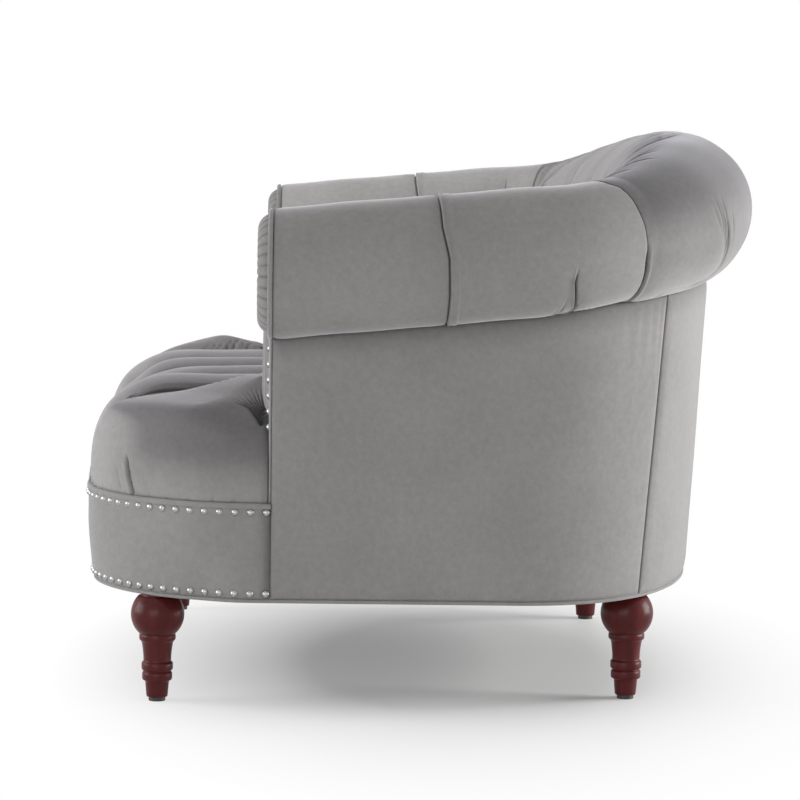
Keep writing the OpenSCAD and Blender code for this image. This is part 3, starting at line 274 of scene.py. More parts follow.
def ease(t):
    """A share from 0 to 1 with soft ends."""
    t = np.clip(t, 0, 1)
    return t * t * (3 - 2 * t)


def blend(a, b, t):
    """A value between two others: the first at 0, the second at 1."""
    return a + (b - a) * t


def spaced(start, end, spots, step, fine=0.8, reach=7.0):
    """Values from a start to an end, a step apart, and finer beside some spots."""
    line = np.linspace(start, end, 8000)
    gap = np.min(np.abs(line[:, None] - np.asarray(spots, float)[None]), axis=1)
    local = fine + (step - fine) * ease((gap - reach) / reach)
    count = np.concatenate([[0], np.cumsum(np.abs(np.diff(line)) / local[1:])])
    return np.interp(np.linspace(0, count[-1], int(count[-1]) + 1), count, line)


def grid_normals(points):
    """Unit normals of a grid of points."""
    normal = np.cross(np.gradient(points, axis=0), np.gradient(points, axis=1))
    return normal / np.maximum(np.linalg.norm(normal, axis=-1, keepdims=True), 1e-9)


def line_distance(points, line):
    """Distance of points from a chain of points, and the share of its length at the nearest spot."""
    lengths = np.linalg.norm(np.diff(line, axis=0), axis=1)
    starts = np.concatenate([[0], np.cumsum(lengths)])
    best = np.full(len(points), 1e9)
    share = np.zeros(len(points))
    for k in range(len(line) - 1):
        if lengths[k] < 1e-6:
            continue
        step = line[k + 1] - line[k]
        t = np.clip((points - line[k]) @ step / lengths[k] ** 2, 0, 1)
        d = np.linalg.norm(points - (line[k] + t[:, None] * step), axis=1)
        closer = d < best
        best[closer] = d[closer]
        share[closer] = (starts[k] + t[closer] * lengths[k]) / starts[-1]
    return best, share


class Relief:
    """Folds, tufts and fullness on a grid of points, added along its normals."""

    def __init__(self, points, normals):
        self.shape = points.shape
        self.points = points.reshape(-1, 3)
        self.normals = normals.reshape(-1, 3)
        self.sharp = np.zeros(len(self.points))
        self.raised = np.zeros(len(self.points))
        self.valley = np.zeros(len(self.points))

    def near(self, line, broad, fade):
        """Points near a line, their distances, and the line's strength there."""
        line = np.asarray(line, float)
        inside = np.all((self.points > line.min(0) - broad) & (self.points < line.max(0) + broad), axis=1)
        found = np.nonzero(inside)[0]
        distance, share = line_distance(self.points[found], line)
        strength = np.ones(len(found))
        if fade[0]:
            strength *= ease(share / fade[0])
        if fade[1]:
            strength *= ease((1 - share) / fade[1])
        return found, distance, strength

    def fold(self, line, depth, width, fade=(0, 0), broad=24.0, valley=1.0):
        """A fold along a line; fade is the share of its length over which each end runs out."""
        found, distance, strength = self.near(line, 3 * broad, fade)
        self.sharp[found] = np.maximum(self.sharp[found], depth * strength * np.exp(-distance / width))
        self.valley[found] = np.maximum(self.valley[found],
                                        valley * strength * np.exp(-(distance / broad) ** 2))

    def ridge(self, line, height, width, fade=(0, 0)):
        """A soft ridge along a line."""
        found, distance, strength = self.near(line, 4 * width, fade)
        self.raised[found] += height * strength * np.exp(-(distance / width) ** 2)

    def pit(self, spot, depth, width, broad=26.0):
        """A tuft pulled in at one spot."""
        distance = np.linalg.norm(self.points - np.asarray(spot, float), axis=1)
        self.sharp = np.maximum(self.sharp, depth * np.exp(-(distance / width) ** 1.3))
        self.valley = np.maximum(self.valley, np.exp(-(distance / broad) ** 2))

    def press(self, across, strength, depth, width=1.3, lip=0.0, band=0.0, band_width=11.0,
              broad=18.0, valley=0.8):
        """A crease where the distance across it is 0. On its positive side the cloth lies
        double: a rounded lip, and then a flat band."""
        across = across.reshape(-1)
        strength = strength.reshape(-1)
        dip = depth * np.exp(-np.abs((across + 0.5 * width) / width) ** 1.5)
        self.sharp = np.maximum(self.sharp, strength * dip)
        self.valley = np.maximum(self.valley, valley * strength * np.exp(-(across / broad) ** 2))
        self.raised += strength * lip * np.exp(-((across - 1.9 * width) / width) ** 2)
        self.raised += strength * band * ease(across / 2.5) * ease((band_width + 4 - across) / 4)

    def painted_fold_shade(self):
        """Painted shade in the folds: how much darker the cloth is painted there, from 0 to about 0.6."""
        return (0.6 * np.clip((self.sharp - 0.6) / 3.2, 0, 1) + 0.05 * self.valley).reshape(self.shape[:-1])

    def shaped(self, fullness):
        """The points with everything added; fullness is how far the cover swells between folds."""
        swell = np.asarray(fullness, float).reshape(-1) if np.ndim(fullness) else fullness
        x, y, z = self.points.T
        # The cloth and its stuffing are never quite even: waves of less than half a millimetre
        slack = 0.45 * np.sin(x / 23 + 1.1) * np.sin(y / 29 + z / 61)
        slack = slack + 0.35 * np.sin(y / 17 - z / 37 + 0.4)
        out = (swell + slack) * (1 - self.valley) + self.raised - self.sharp
        return (self.points + self.normals * out[:, None]).reshape(self.shape)


def closed_shell(outer, inner, flip=False):
    """Points and faces of a closed piece between an outer grid and an equal inner grid."""
    rows, columns = outer.shape[:2]
    count = rows * columns
    points = np.concatenate([outer.reshape(-1, 3), inner.reshape(-1, 3)])
    faces = grid_faces(rows, columns, flip=flip) + grid_faces(rows, columns, count, flip=not flip)
    top = list(range(columns))
    right = [i * columns + columns - 1 for i in range(1, rows)]
    bottom = [(rows - 1) * columns + j for j in range(columns - 2, -1, -1)]
    left = [i * columns for i in range(rows - 2, 0, -1)]
    loop = top + right + bottom + left
    for k in range(len(loop)):
        a, b = loop[k], loop[(k + 1) % len(loop)]
        quad = [b, a, a + count, b + count]
        faces.append(quad[::-1] if flip else quad)
    return points, faces


# The seat's edge is a round corner on either side, its middle at corner_x and corner_y, and a
# front that is bowed a little between them
seam_z = 268.4
corner_x = 221.0
corner_y = -212.0
seat_corner_radius = 227.0
front_bow = 4.5
ear_start = 264.0
seat_side = 332.0
ear_rear_y = -200.8
squareness = 2.3
foot_y = -20.0
foot_depth = 165.5
seat_gap = 0.5
deck_height = 137.0
deck_drop = 16.0
channel_width = 132.0
ear_columns = 150
edge_rows = 100
deck_rows = 90

# The seat's outline from the right arm round the front to the left arm
ear_angle = math.acos((ear_start - corner_x) / seat_corner_radius)
ear_turn = np.linspace(0, ear_angle, ear_columns, endpoint=False)
right_arc = np.stack([corner_x + seat_corner_radius * np.cos(ear_turn),
                      corner_y - seat_corner_radius * np.sin(ear_turn)], -1)
right_arc = np.concatenate([[[corner_x + seat_corner_radius, ear_rear_y]], right_arc])
grooves = (-2 * channel_width, -channel_width, 0.0, channel_width, 2 * channel_width)
middle_x = spaced(ear_start, -ear_start, grooves, 3.4)
middle_y = np.where(
    np.abs(middle_x) > corner_x,
    corner_y - np.sqrt(np.maximum(seat_corner_radius ** 2 - (np.abs(middle_x) - corner_x) ** 2, 0)),
    corner_y - seat_corner_radius - front_bow * (1 + np.cos(np.pi * middle_x / corner_x)))
outline = np.concatenate([right_arc, np.stack([middle_x, middle_y], -1), (right_arc * (-1, 1))[::-1]])
# Where each column of the seat crosses the line between the arms' front edges
inner_right = np.linspace(seat_side, ear_start, ear_columns + 2)[:-1]
inner_x = np.concatenate([inner_right, middle_x, -inner_right[::-1]])
# 0 in the channels and at the groove, 1 where the ear meets the arm
ear_share = np.concatenate([np.linspace(1, 0, ear_columns + 2)[:-1], np.zeros(len(middle_x)),
                            np.linspace(0, 1, ear_columns + 2)[1:]])

# Rounded front edge: (distance behind the seam, height over it) at the crowns of the channels,
# along each ear's crest, and where an ear meets the arm
channel_foot = [(0, 0), (-0.8, 9), (-1.1, 18), (-0.5, 30), (2, 44), (6, 57), (12, 70), (21, 84)]
edge_profiles = {
    "inner_right": channel_foot + [
        (33, 97), (46, 106.5), (58, 115.5), (72, 124), (86, 130), (99, 133), (112, 136.8), (133, 139),
        (160, 140.5), (234, 141.3)],
    "inner_left": channel_foot + [
        (33, 96.5), (45, 105), (56, 113.5), (66, 123.5), (79, 132.7), (93, 137.5), (110, 140), (150, 141.2),
        (234, 141.3)],
    "outer": [
        (0, 0), (-0.8, 9), (-1.1, 18), (-0.5, 38), (1.5, 57), (4.5, 68), (9, 80), (15, 93.7), (24.4, 105.5),
        (35, 116), (48.5, 124.5), (61.8, 131.5), (71, 135.5), (84.5, 139), (98, 140.5), (120, 141),
        (150, 141.2), (234, 141.3)],
    "right_ear": [
        (0, 0), (-2, 14), (-3.2, 30), (-4.6, 48), (-3.3, 65), (2, 83), (8.5, 100.5), (16, 109), (24, 114),
        (47, 119.5), (78, 122.5), (114, 127.5), (143, 136.5), (192, 149.5), (215, 151), (226, 151)],
    "left_ear": [
        (0, 0), (-2, 14), (-2.5, 30), (-1.5, 48), (0.5, 62), (3.4, 74), (7, 86), (15, 99.4), (24, 111),
        (40, 124.7), (58.6, 134.7), (77, 140.8), (100, 147.7), (123, 153), (146, 158.5), (171, 160.5),
        (184, 159.5), (198, 156), (213, 153.5), (226, 152)],
    "arm": [
        (0, 0), (-1, 18), (-1.5, 38), (-1, 56), (1, 70), (5, 81), (14, 91), (28, 100), (45, 108), (60, 115),
        (72, 121), (84, 127), (94, 133), (100, 137), (105, 140), (109, 142), (112, 143), (116, 143.5)]}


def along_profile(profile, steps):
    """Points at even steps of length along a chain of points."""
    lengths = np.concatenate([[0], np.cumsum(np.linalg.norm(np.diff(profile, axis=0), axis=1))])
    places = np.linspace(0, lengths[-1], steps)
    return np.stack([np.interp(places, lengths, profile[:, k]) for k in range(profile.shape[1])], -1)


def rounded_profile(profile):
    """A profile's points at even steps, with its corners rounded off in four passes."""
    even = along_profile(np.array(profile, float), edge_rows)
    for _ in range(4):
        even[2:-2] = (even[:-4] + even[1:-3] + even[2:-2] + even[3:-1] + even[4:]) / 5
    return even


def seat_rear_y(x):
    """The seat's rear edge, below the inside back."""
    inside = max(1 - (abs(x) / seat_side) ** squareness, 0)
    return foot_y + (foot_depth - seat_gap) * inside ** (1 / squareness)


shapes = {name: rounded_profile(profile) for name, profile in edge_profiles.items()}
seat_points = np.zeros((edge_rows + deck_rows, len(outline), 3))
# The profiles hold to this depth behind the seam, and are stretched to the deck behind it
kept_depth = 60
groove_blend = 14
ear_blend = {"right_ear": 0.05, "left_ear": 0.3}
left_ear_fall = 18
for j, (start, x, share) in enumerate(zip(outline, inner_x, ear_share)):
    toward = np.array([x, ear_rear_y]) - start
    room = np.linalg.norm(toward)
    toward = toward / room
    ear = "right_ear" if x > 0 else "left_ear"
    past_groove = ease((x + groove_blend) / (2 * groove_blend))
    shape = blend(shapes["inner_left"], shapes["inner_right"], past_groove)
    shape = blend(shape, shapes["outer"], ease(abs(x) / channel_width - 0.5))
    shape = blend(shape, shapes[ear], ease(share / ear_blend[ear]))
    shape = blend(shape, shapes["arm"], ease((share - 0.6) / 0.4))
    stretch = (room - kept_depth) / (shape[-1, 0] - kept_depth)
    inward = np.where(shape[:, 0] < kept_depth, shape[:, 0],
                      kept_depth + (shape[:, 0] - kept_depth) * stretch)
    seat_points[:edge_rows, j, :2] = start + toward * inward[:, None]
    # The left ear falls away towards the arm
    fall = left_ear_fall * (x < 0) * ease((share - 0.08) / 0.2)
    fall = fall * ease((seat_points[:edge_rows, j, 1] + 290) / 70)
    seat_points[:edge_rows, j, 2] = seam_z + shape[:, 1] - fall
    down = np.linspace(0, 1, deck_rows + 1)[1:]
    seat_points[edge_rows:, j, 0] = x
    seat_points[edge_rows:, j, 1] = ear_rear_y + down * (seat_rear_y(x) - ear_rear_y)
    top = seat_points[edge_rows - 1, j, 2]
    rear_drop = deck_drop * np.clip((down - 0.9) / 0.1, 0, 1) ** 2
    seat_points[edge_rows:, j, 2] = blend(top, seam_z + deck_height, ease(down * 1.6)) - rear_drop

seat_relief = Relief(seat_points, grid_normals(seat_points))


def seat_height(x, y):
    """A point on the seat's plain surface over a place in the plan."""
    flat = seat_points[:, :, :2].reshape(-1, 2)
    nearest = np.argmin(np.sum((flat - (x, y)) ** 2, axis=1))
    return np.array([x, y, seat_points.reshape(-1, 3)[nearest, 2]])


def seat_line(plan, steps=14):
    """A line on the seat's surface through places of the plan."""
    return np.array([seat_height(x, y) for x, y in along_profile(np.asarray(plan, float), steps)])


def edge_spot(turn, height, side=1):
    """A point of the ear's front edge: degrees round the corner from the arm, and height."""
    column = 1 + int(np.argmin(np.abs(np.degrees(ear_turn) - turn)))
    edge = seat_points[:edge_rows, column]
    spot = [np.interp(height, edge[:, 2] - seam_z, edge[:, axis]) for axis in range(3)]
    return np.array(spot) * (side, 1, 1)


# Channels: crowned between grooves that are shallow low on the front edge and deep on top.
# The ears are hollowed and the grooves pinched in the same way.
channel_low = 2.0
channel_deep = 14.5
ear_low = 3.0
ear_deep = 14.0
pinch_low = 1.2
pinch_deep = 5.5
crown_power = 2.1
left_ear_share = 0.7
height = seat_points[..., 2] - seam_z
on_front = np.arange(edge_rows + deck_rows)[:, None] < edge_rows
behind_arms = np.clip((seat_points[..., 1] - ear_rear_y) / 60, 0, 1)
crown = 1 - np.abs((np.abs(inner_x) % channel_width) / channel_width * 2 - 1) ** crown_power
crown = np.where(np.abs(inner_x) < ear_start, crown, 1.0)
channel_depth = np.where(on_front, blend(channel_low, channel_deep, ease((height - 20) / 100)), channel_deep)
channel_depth = channel_depth * (1 - 0.45 * behind_arms)
hollow = channel_depth * (1 - crown)[None]
ear_side = np.clip(ear_share / np.where(on_front, 0.08 + 0.06 * ease((height - 50) / 90), 0.14), 0, 1)
ear_depth = np.where(on_front, blend(ear_low, ear_deep, ease((height - 10) / 90)), ear_deep)
ear_depth = ear_depth * (1 - behind_arms) * np.where(inner_x > 0, 1.0, left_ear_share)
hollow = hollow + ear_depth * (1 - ear_side) ** 2 * (ear_share > 0)
pinch = np.where(on_front, blend(pinch_low, pinch_deep, ease((height - 15) / 80)), pinch_deep)
pinch = pinch * (1 - 0.8 * behind_arms)
for x in grooves:
    # The two grooves beside the ears are pinched deeper and wider
    more, width = (1.2, 4.0) if abs(x) > channel_width else (1.0, 3.2)
    hollow = hollow + pinch * more * np.exp(-np.abs(inner_x - x) / width)

# Rows of tufts, by their share of the way from the front of the deck to its rear edge
seat_rows = {1: 0.25, 3: 0.55, 5: 0.85}
row_columns = {1: (-1, 0, 1), 3: (-1.5, -0.5, 0.5, 1.5), 5: (-1, 0, 1)}
tufts = [(k * channel_width, row) for row, columns in row_columns.items() for k in columns]
seat_tuft_depth = 16
seat_tuft_width = 10


def tuft_y(x, row):
    """Where a row of tufts crosses a column of the seat."""
    return ear_rear_y + seat_rows[row] * (seat_rear_y(x) - ear_rear_y)


for x, row in tufts:
    tuft = (x, tuft_y(x, row))
    seat_relief.pit(seat_height(*tuft), seat_tuft_depth, seat_tuft_width)
    for x2, row2 in tufts:
        if row2 == row + 2 and abs(abs(x2 - x) - channel_width / 2) < 1:
            seat_relief.fold(seat_line([tuft, (x2, tuft_y(x2, row2))], 12), 9, 4.0, broad=26)
    if row == 1:
        seat_relief.fold(seat_line([tuft, (x, ear_rear_y - 10)], 10), 8, 4.0, (0, 0.3), broad=26)
    if row == 5:
        seat_relief.fold(seat_line([tuft, (x, tuft[1] + 60)], 8), 8, 4.5, broad=26)
for side in (-1, 1):
    # From the outer grooves the folds run on to the outermost tufts
    run_on = [(side * 264, -215), (side * 245, -160), (side * 198, tuft_y(198, 3))]
    seat_relief.fold(seat_line(run_on, 14), 8, 4.0, (0.1, 0), broad=26)
    # Pleats gathered where the ear goes down beside the arm
    for k in range(9):
        end = (side * (336 + 0.42 * k * k), -206.0 - 6.6 * k)
        middle = (side * (372 + 1.4 * k), -206.5 - 2.6 * k)
        pleat = seat_line([(side * 428, -204.5 - 0.6 * k), middle, end], 18)
        seat_relief.fold(pleat, 4.2, 1.3, (0.1, 0.4), broad=5, valley=0.3)
    # Pleats on the inner slope of the ear
    for k in range(9):
        start = (side * 266, -312.0 + 11.5 * k + 2 * math.sin(3 * k))
        end = (side * (290 + 1.5 * k), -292.0 + 10.0 * k)
        deep = 5.0 if k in (3, 4, 6, 8) else 3.0
        seat_relief.fold(seat_line([start, end], 12), deep, 1.5, (0.1, 0.6), broad=7, valley=0.2)
    # The corner pleat: a deep line with a rounded lip before it
    deep_line = ((47.8, 56), (47.4, 46), (47.0, 34), (46.4, 20), (45.4, 2))
    lip_line = ((48.9, 50), (48.5, 38), (47.9, 24), (46.9, 4))
    soft_line = ((52.5, 44), (53, 30), (52.5, 14), (51, 2))
    deep, lip, soft = ([edge_spot(turn, h, side) for turn, h in line]
                       for line in (deep_line, lip_line, soft_line))
    seat_relief.fold(deep, 7.5, 1.2, (0.3, 0), broad=10, valley=0.5)
    seat_relief.ridge(lip, 1.8, 2.6, (0.3, 0))
    seat_relief.fold(soft, 1.6, 5.0, (0.4, 0.1), broad=8, valley=0.2)
    # Small gathers along the seam under the ear
    for turn in (8, 15, 23, 31, 38, 57, 64, 71):
        gather = [edge_spot(turn, 11, side), edge_spot(turn, 0, side)]
        seat_relief.fold(gather, 0.9, 2.2, (0.7, 0), broad=5, valley=0.1)

seat_normals = grid_normals(seat_points)
seat_top = seat_relief.shaped(0.4 + 4.0 * behind_arms)
kept = hollow * (1 - 0.6 * seat_relief.valley.reshape(hollow.shape))
seat_top = seat_top - seat_normals * kept[..., None]
# Painted light and shade on the seat: the ears' sides, the deck and the grooves are painted darker, and
# the foot, the front and a patch of the far channel lighter; the folds get painted shade too
sideways = ease(seat_normals[..., 0] * np.sign(inner_x) / 0.25) * (ear_share > 0)
not_forwards = 1 - ease((-seat_normals[..., 1] - 0.6) / 0.16)
dark_sides = sideways * not_forwards * ease((height - 20) / 50) * (1 - ease((height - 114) / 14))
dark_deck = ease((height - 118) / 20)
dark_grooves = np.clip(hollow / 20, 0, 1) ** 1.5
light_foot = ease((30 - height) / 30)
light_edge = (ear_share == 0) * ease((height - 60) / 20) * (1 - ease((height - 112) / 20))
light_front = ease((-seat_normals[..., 1] - 0.7) / 0.2)
light_patch = ease((-inner_x - 110) / 60) * ease((height - 100) / 25)
seat_painted_shading = 0.1 * light_foot + 0.1 * light_edge + 0.15 * light_front + 0.3 * light_patch
seat_painted_shading = seat_painted_shading - 0.36 * dark_sides - 0.15 * dark_deck - 0.28 * dark_grooves
seat_painted_shading = seat_painted_shading - seat_relief.painted_fold_shade()
seat_top[0, :, 2] = seam_z
seat_bottom = seat_top.copy()
seat_bottom[..., 2] = seam_z
# The underside is drawn in a little towards the seat's middle
seat_middle = np.array([0.0, -200.0])
seat_bottom[:edge_rows, :, :2] = blend(seat_top[:edge_rows, :, :2], seat_middle, 0.01)
points, faces = closed_shell(seat_top, seat_bottom, flip=True)
seat = add_piece("velvet_seat", points, faces, velvet, seat_painted_shading)
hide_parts("seat_cushion")


# Rolled arms and back with their inside covers
# Each arm and the back are covered by one length of velvet, which is nailed under the roll,
# wraps over it and runs down the inside to the seat, tied down in deep diamond tufts.

arm_front = -196.0
turn_y = 110.0
scroll_z = 561.0
roll_rise = 0.0945
roll_x = 464.0
roll_bow = 243.6
corner_seam = 63.0
arm_roll_radius = 81.0
seam_radius = 78.0
back_roll_radius = 98.4
back_lift = 25.7
lift_power = 2.15
swell_power = 0.935
# Half the width, and the depth behind the turn, of the outside panels' top edge and of the base
panel_top_x = 455.0
panel_top_depth = 285.0
side_x = 450.0
rear_depth = 263.0
curve_steps = 1201
arm_steps = 306
# The fold of the arm, and the columns of tufts: millimetres apart on the arm, degrees on the back
# and round the bend between them
arm_fold_y = 15.0
tuft_gap = 72.0
tuft_step = 9.0
bend_step = 13.46
# The rail under the roll that the cover is tacked to, and the gaps beside the shell and the roll
pad_low = 268.5
rail_in = 21.0
rail_gap = 11.5
rail_lift = 8.5
shell_gap = 0.8
under_from = 188
under_gap = 1.5
roll_rows = 150
pad_rows = 96


def squared(a, b, y0, degrees):
    """A point of a squared ellipse: angle 0 at the back, 90 at the right side."""
    q = np.radians(degrees)
    return np.stack([np.sign(q) * a * np.abs(np.sin(q)) ** (2 / squareness),
                     y0 + b * np.maximum(np.cos(q), 0) ** (2 / squareness)], -1)


def squared_normal(a, b, degrees):
    """The direction straight out of a squared ellipse at an angle."""
    q = np.radians(degrees)
    n = np.stack([np.sign(q) * np.abs(np.sin(q)) ** (2 - 2 / squareness) / a,
                  np.maximum(np.cos(q), 0) ** (2 - 2 / squareness) / b], -1)
    return n / np.linalg.norm(n, axis=-1, keepdims=True)


def reach_to(centre, outward, a, b):
    """Distance outwards from points of the plan to a squared ellipse, found by halving."""
    low = np.full(len(centre), -120.0)
    high = np.full(len(centre), 200.0)
    for _ in range(30):
        middle = (low + high) / 2
        p = centre + middle[:, None] * outward
        size = (np.abs(p[:, 0]) / a) ** squareness + (np.maximum(p[:, 1] - turn_y, 0) / b) ** squareness
        high = np.where(size > 1, middle, high)
        low = np.where(size > 1, low, middle)
    return (low + high) / 2


Station = namedtuple("Station", "centre outward height radius foot top low")


class Spine:
    """The line through the middle of the rolls. The way along it is 0 at the middle of the
    back, and grows round the right corner to the front of the right arm."""

    def __init__(self):
        angles = np.linspace(0, 90, curve_steps)
        ys = np.linspace(turn_y, arm_front, arm_steps + 1)[1:]
        arm = np.ones(len(ys))
        straight = np.stack([roll_x * arm, ys], -1)
        place = np.concatenate([squared(roll_x, roll_bow, turn_y, angles), straight])
        sideways = np.tile([1.0, 0.0], (len(ys), 1))
        out = np.concatenate([squared_normal(roll_x, roll_bow, angles), sideways])
        turned = np.concatenate([angles, 90 * arm])
        height = scroll_z + roll_rise * (place[:, 1] - arm_front)
        height += back_lift * np.maximum(np.cos(np.radians(turned)), 0) ** lift_power
        # The arm roll narrows a little towards the corner seam, and the back roll swells from it
        past_seam = np.clip(corner_seam - turned, 0, None) / corner_seam
        narrowed = (arm_roll_radius - seam_radius) * (90 - turned) / (90 - corner_seam)
        swollen = (back_roll_radius - seam_radius) * np.sin(np.pi / 2 * past_seam ** swell_power)
        radius = np.where(turned > corner_seam, arm_roll_radius - narrowed, seam_radius + swollen)
        share = (ys - arm_front) / (turn_y - arm_front)
        foot_side = np.stack([seat_side * arm, arm_front + share * (foot_y - arm_front)], -1)
        foot = np.concatenate([squared(seat_side, foot_depth, foot_y, angles), foot_side])
        self.way = np.concatenate([[0], np.cumsum(np.linalg.norm(np.diff(place, axis=0), axis=1))])
        self.turned = turned
        top = reach_to(place, out, panel_top_x, panel_top_depth)
        low = reach_to(place, out, side_x, rear_depth)
        self.table = np.column_stack([place, out, height, radius, foot, top, low])
        self.turn_way = self.way[len(angles) - 1]
        self.end = self.way[-1]

    def at(self, way):
        """The roll's middle, direction outwards, height and radius at a way, with the foot of its
        inside cover and how far outside the top and the foot of its outside panel lie."""
        way = np.asarray(way, float)
        side = np.where(way < 0, -1.0, 1.0)
        x, y, nx, ny, height, radius, fx, fy, top, low = (
            np.interp(np.abs(way), self.way, column) for column in self.table.T)
        outward = np.stack([side * nx, ny], -1)
        outward /= np.linalg.norm(outward, axis=-1, keepdims=True)
        foot = np.stack([side * fx, fy], -1)
        return Station(np.stack([side * x, y], -1), outward, height, radius, foot, top, low)

    def way_at(self, angle):
        """The way to an angle round the back."""
        return np.sign(angle) * np.interp(np.abs(angle), self.turned[:curve_steps], self.way[:curve_steps])


spine = Spine()
seam_way = float(spine.way_at(corner_seam))


def back_way(column):
    """The way to a column of the back's tufts, counted from the middle."""
    return float(spine.way_at(column * tuft_step))


def arm_way(column):
    """The way to a column of the arm's tufts, counted backwards from its fold."""
    y = arm_fold_y + column * tuft_gap
    if y <= turn_y:
        return spine.turn_way + turn_y - y
    return float(spine.way_at(90 - (y - turn_y) / tuft_gap * bend_step))


def cover_points(way, place):
    """Points of the plain cover. A place is an angle round the roll up to 180, and from 180
    to 280 it runs down the inside to the seat."""
    way, place = np.broadcast_arrays(np.asarray(way, float), np.asarray(place, float))
    at = spine.at(way)
    q = np.radians(np.minimum(place, 180))
    roll = at.centre + (at.radius * np.cos(q))[..., None] * at.outward
    v = np.clip(1 - (place - 180) / 100, 0, 1)
    # The inside rises straight for a quarter of its height, and leans out above
    lean = np.clip((v - 0.25) / 0.75, 0, 1)
    lean = 0.5 * lean ** 1.25 + 0.5 * ease(lean)
    wall = at.centre - at.radius[..., None] * at.outward
    pad = at.foot + (wall - at.foot) * lean[..., None]
    inside = place > 180
    flat = np.where(inside[..., None], pad, roll)
    z = np.where(inside, pad_low + v * (at.height - pad_low), at.height + at.radius * np.sin(q))
    return np.concatenate([flat, z[..., None]], -1)


# The corner seam and the arm's fold don't run straight round the roll: how far they stray
# along it, by the place round it
seam_places = (-90, -80, -62, -47, -34, -16, -5, 5, 19, 34, 47, 64, 73, 90, 120, 150, 180)
seam_strays = (-17, -15, -5, 1, 5, 10, 11, 13, 14, 16, 17, 19, 26, 28, 20, 9, 0)
fold_places = (-110, -76, -28, 3, 33, 81, 120, 180)
fold_strays = (-7, -7.3, -8.8, -7.3, 1.7, 6.2, 6.5, 0)
seam_reach = 105
fold_reach = 60
fold_way = arm_way(0)


def stray(way, place):
    """How far the cloth is drawn along the roll at a way and a place."""
    size = np.abs(way)
    at_seam = np.interp(place, seam_places, seam_strays) * (1 - ease(np.abs(size - seam_way) / seam_reach))
    at_fold = np.interp(place, fold_places, fold_strays) * (1 - ease(np.abs(size - fold_way) / fold_reach))
    return np.sign(way) * (at_seam + at_fold)


both_sides = (("right", False), ("left", True))


class Cover:
    """The velvet over a roll and down its inside, as a grid of ways by places."""

    def __init__(self, ways):
        self.ways = ways
        at = spine.at(ways)
        self.rail = at.top - rail_in
        first = -np.degrees(np.arccos(np.clip((self.rail + rail_gap) / at.radius, -1, 1)))
        around = first[:, None] + (180 - first)[:, None] * np.linspace(0, 1, roll_rows)
        down = 180 + 100 * np.linspace(0, 1, pad_rows + 1)[1:]
        self.place = np.concatenate([around, np.tile(down, (len(ways), 1))], 1)
        self.points = cover_points(ways[:, None] + stray(ways[:, None], self.place), self.place)
        self.relief = Relief(self.points, grid_normals(self.points))

    def spot(self, way, place):
        """The point of the plain cover at a way and a place."""
        return cover_points(way + stray(way, place), place)

    def line(self, path, step=7.0):
        """A line on the cover through (way, place) pairs."""
        length = sum(abs(a[0] - b[0]) + abs(a[1] - b[1]) for a, b in zip(path[:-1], path[1:]))
        path = along_profile(np.asarray(path, float), 2 + int(length / step))
        return self.spot(path[:, 0], path[:, 1])

    def crease(self, path, depth, lip_side=-1, fade=(14, 14), side=1, **looks):
        """A crease round the roll through (place, way) pairs, from the lowest place up; its
        lip lies towards larger or smaller ways. Side -1 puts all of it on the left."""
        places, ways = np.array(path, float).T
        ways = side * ways
        lip_side = side * lip_side
        way = np.interp(self.place, places, ways)
        ahead = np.interp(self.place + 2, places, ways)
        slope = (ahead - way) / (2 * np.radians(1) * seam_radius)
        across = (self.ways[:, None] - way) * lip_side / np.sqrt(1 + slope ** 2)
        strength = ease((self.place - places[0]) / fade[0]) * ease((places[-1] - self.place) / fade[1])
        self.relief.press(across, strength, depth, **looks)

    def piece(self, name, fullness, painted_shading, mirrored=False):
        """The closed cover: shaped outside, then back up along the shell and round the rail."""
        at = spine.at(self.ways)
        shaped = self.relief.shaped(fullness)
        # Ways outwards from the roll's middle, and up from it, of the rows that close the cover
        closing = []
        for share in (0.02, 0.5, 0.93):
            closing.append((-(at.radius + shell_gap), pad_low + share * (at.height - pad_low) - at.height))
        last = 360 - np.degrees(np.arccos(np.clip((self.rail - rail_gap) / at.radius, -1, 1)))
        for share in (0.2, 0.5, 0.8, 1.0):
            q = np.radians(under_from + (last - under_from) * share)
            closing.append(((at.radius - under_gap) * np.cos(q), (at.radius - under_gap) * np.sin(q)))
        for gap in (-rail_gap, rail_gap):
            closing.append((self.rail + gap, rail_lift))
        hidden = [np.concatenate([at.centre + offset[:, None] * at.outward, (at.height + lift)[:, None]], -1)
                  for offset, lift in closing]
        rings = np.concatenate([shaped, np.stack(hidden, 1)], 1)
        rows, columns = rings.shape[:2]
        faces = grid_faces(rows, columns, wrap=True)
        count = rows * columns
        faces.append(list(range(count, count + columns))[::-1])
        faces.append(list(range(count + columns, count + 2 * columns)))
        points = np.concatenate([rings.reshape(-1, 3), rings[0], rings[-1]])
        # Painted light and shade for each point of the cover, with painted shade in its folds
        painted_values = np.zeros((rows + 2, columns))
        painted_values[:rows, :shaped.shape[1]] = painted_shading - self.relief.painted_fold_shade()
        painted_values[rows] = painted_values[0]
        painted_values[rows + 1] = painted_values[rows - 1]
        piece = add_piece(name, points, faces, velvet, painted_values, mirrored)
        return piece, shaped


def button_form(radius=10.0, height=6.5, rim=1.6):
    """A covered button: a low dome on a pinched rim."""
    dome = [(radius * math.cos(q), rim + (height - rim) * math.sin(q))
            for q in np.radians(np.linspace(0, 84, 12))]
    return lathe([(radius * 0.8, -3.0), (radius * 0.93, -0.6), (radius, 0.6)] + dome, 36)


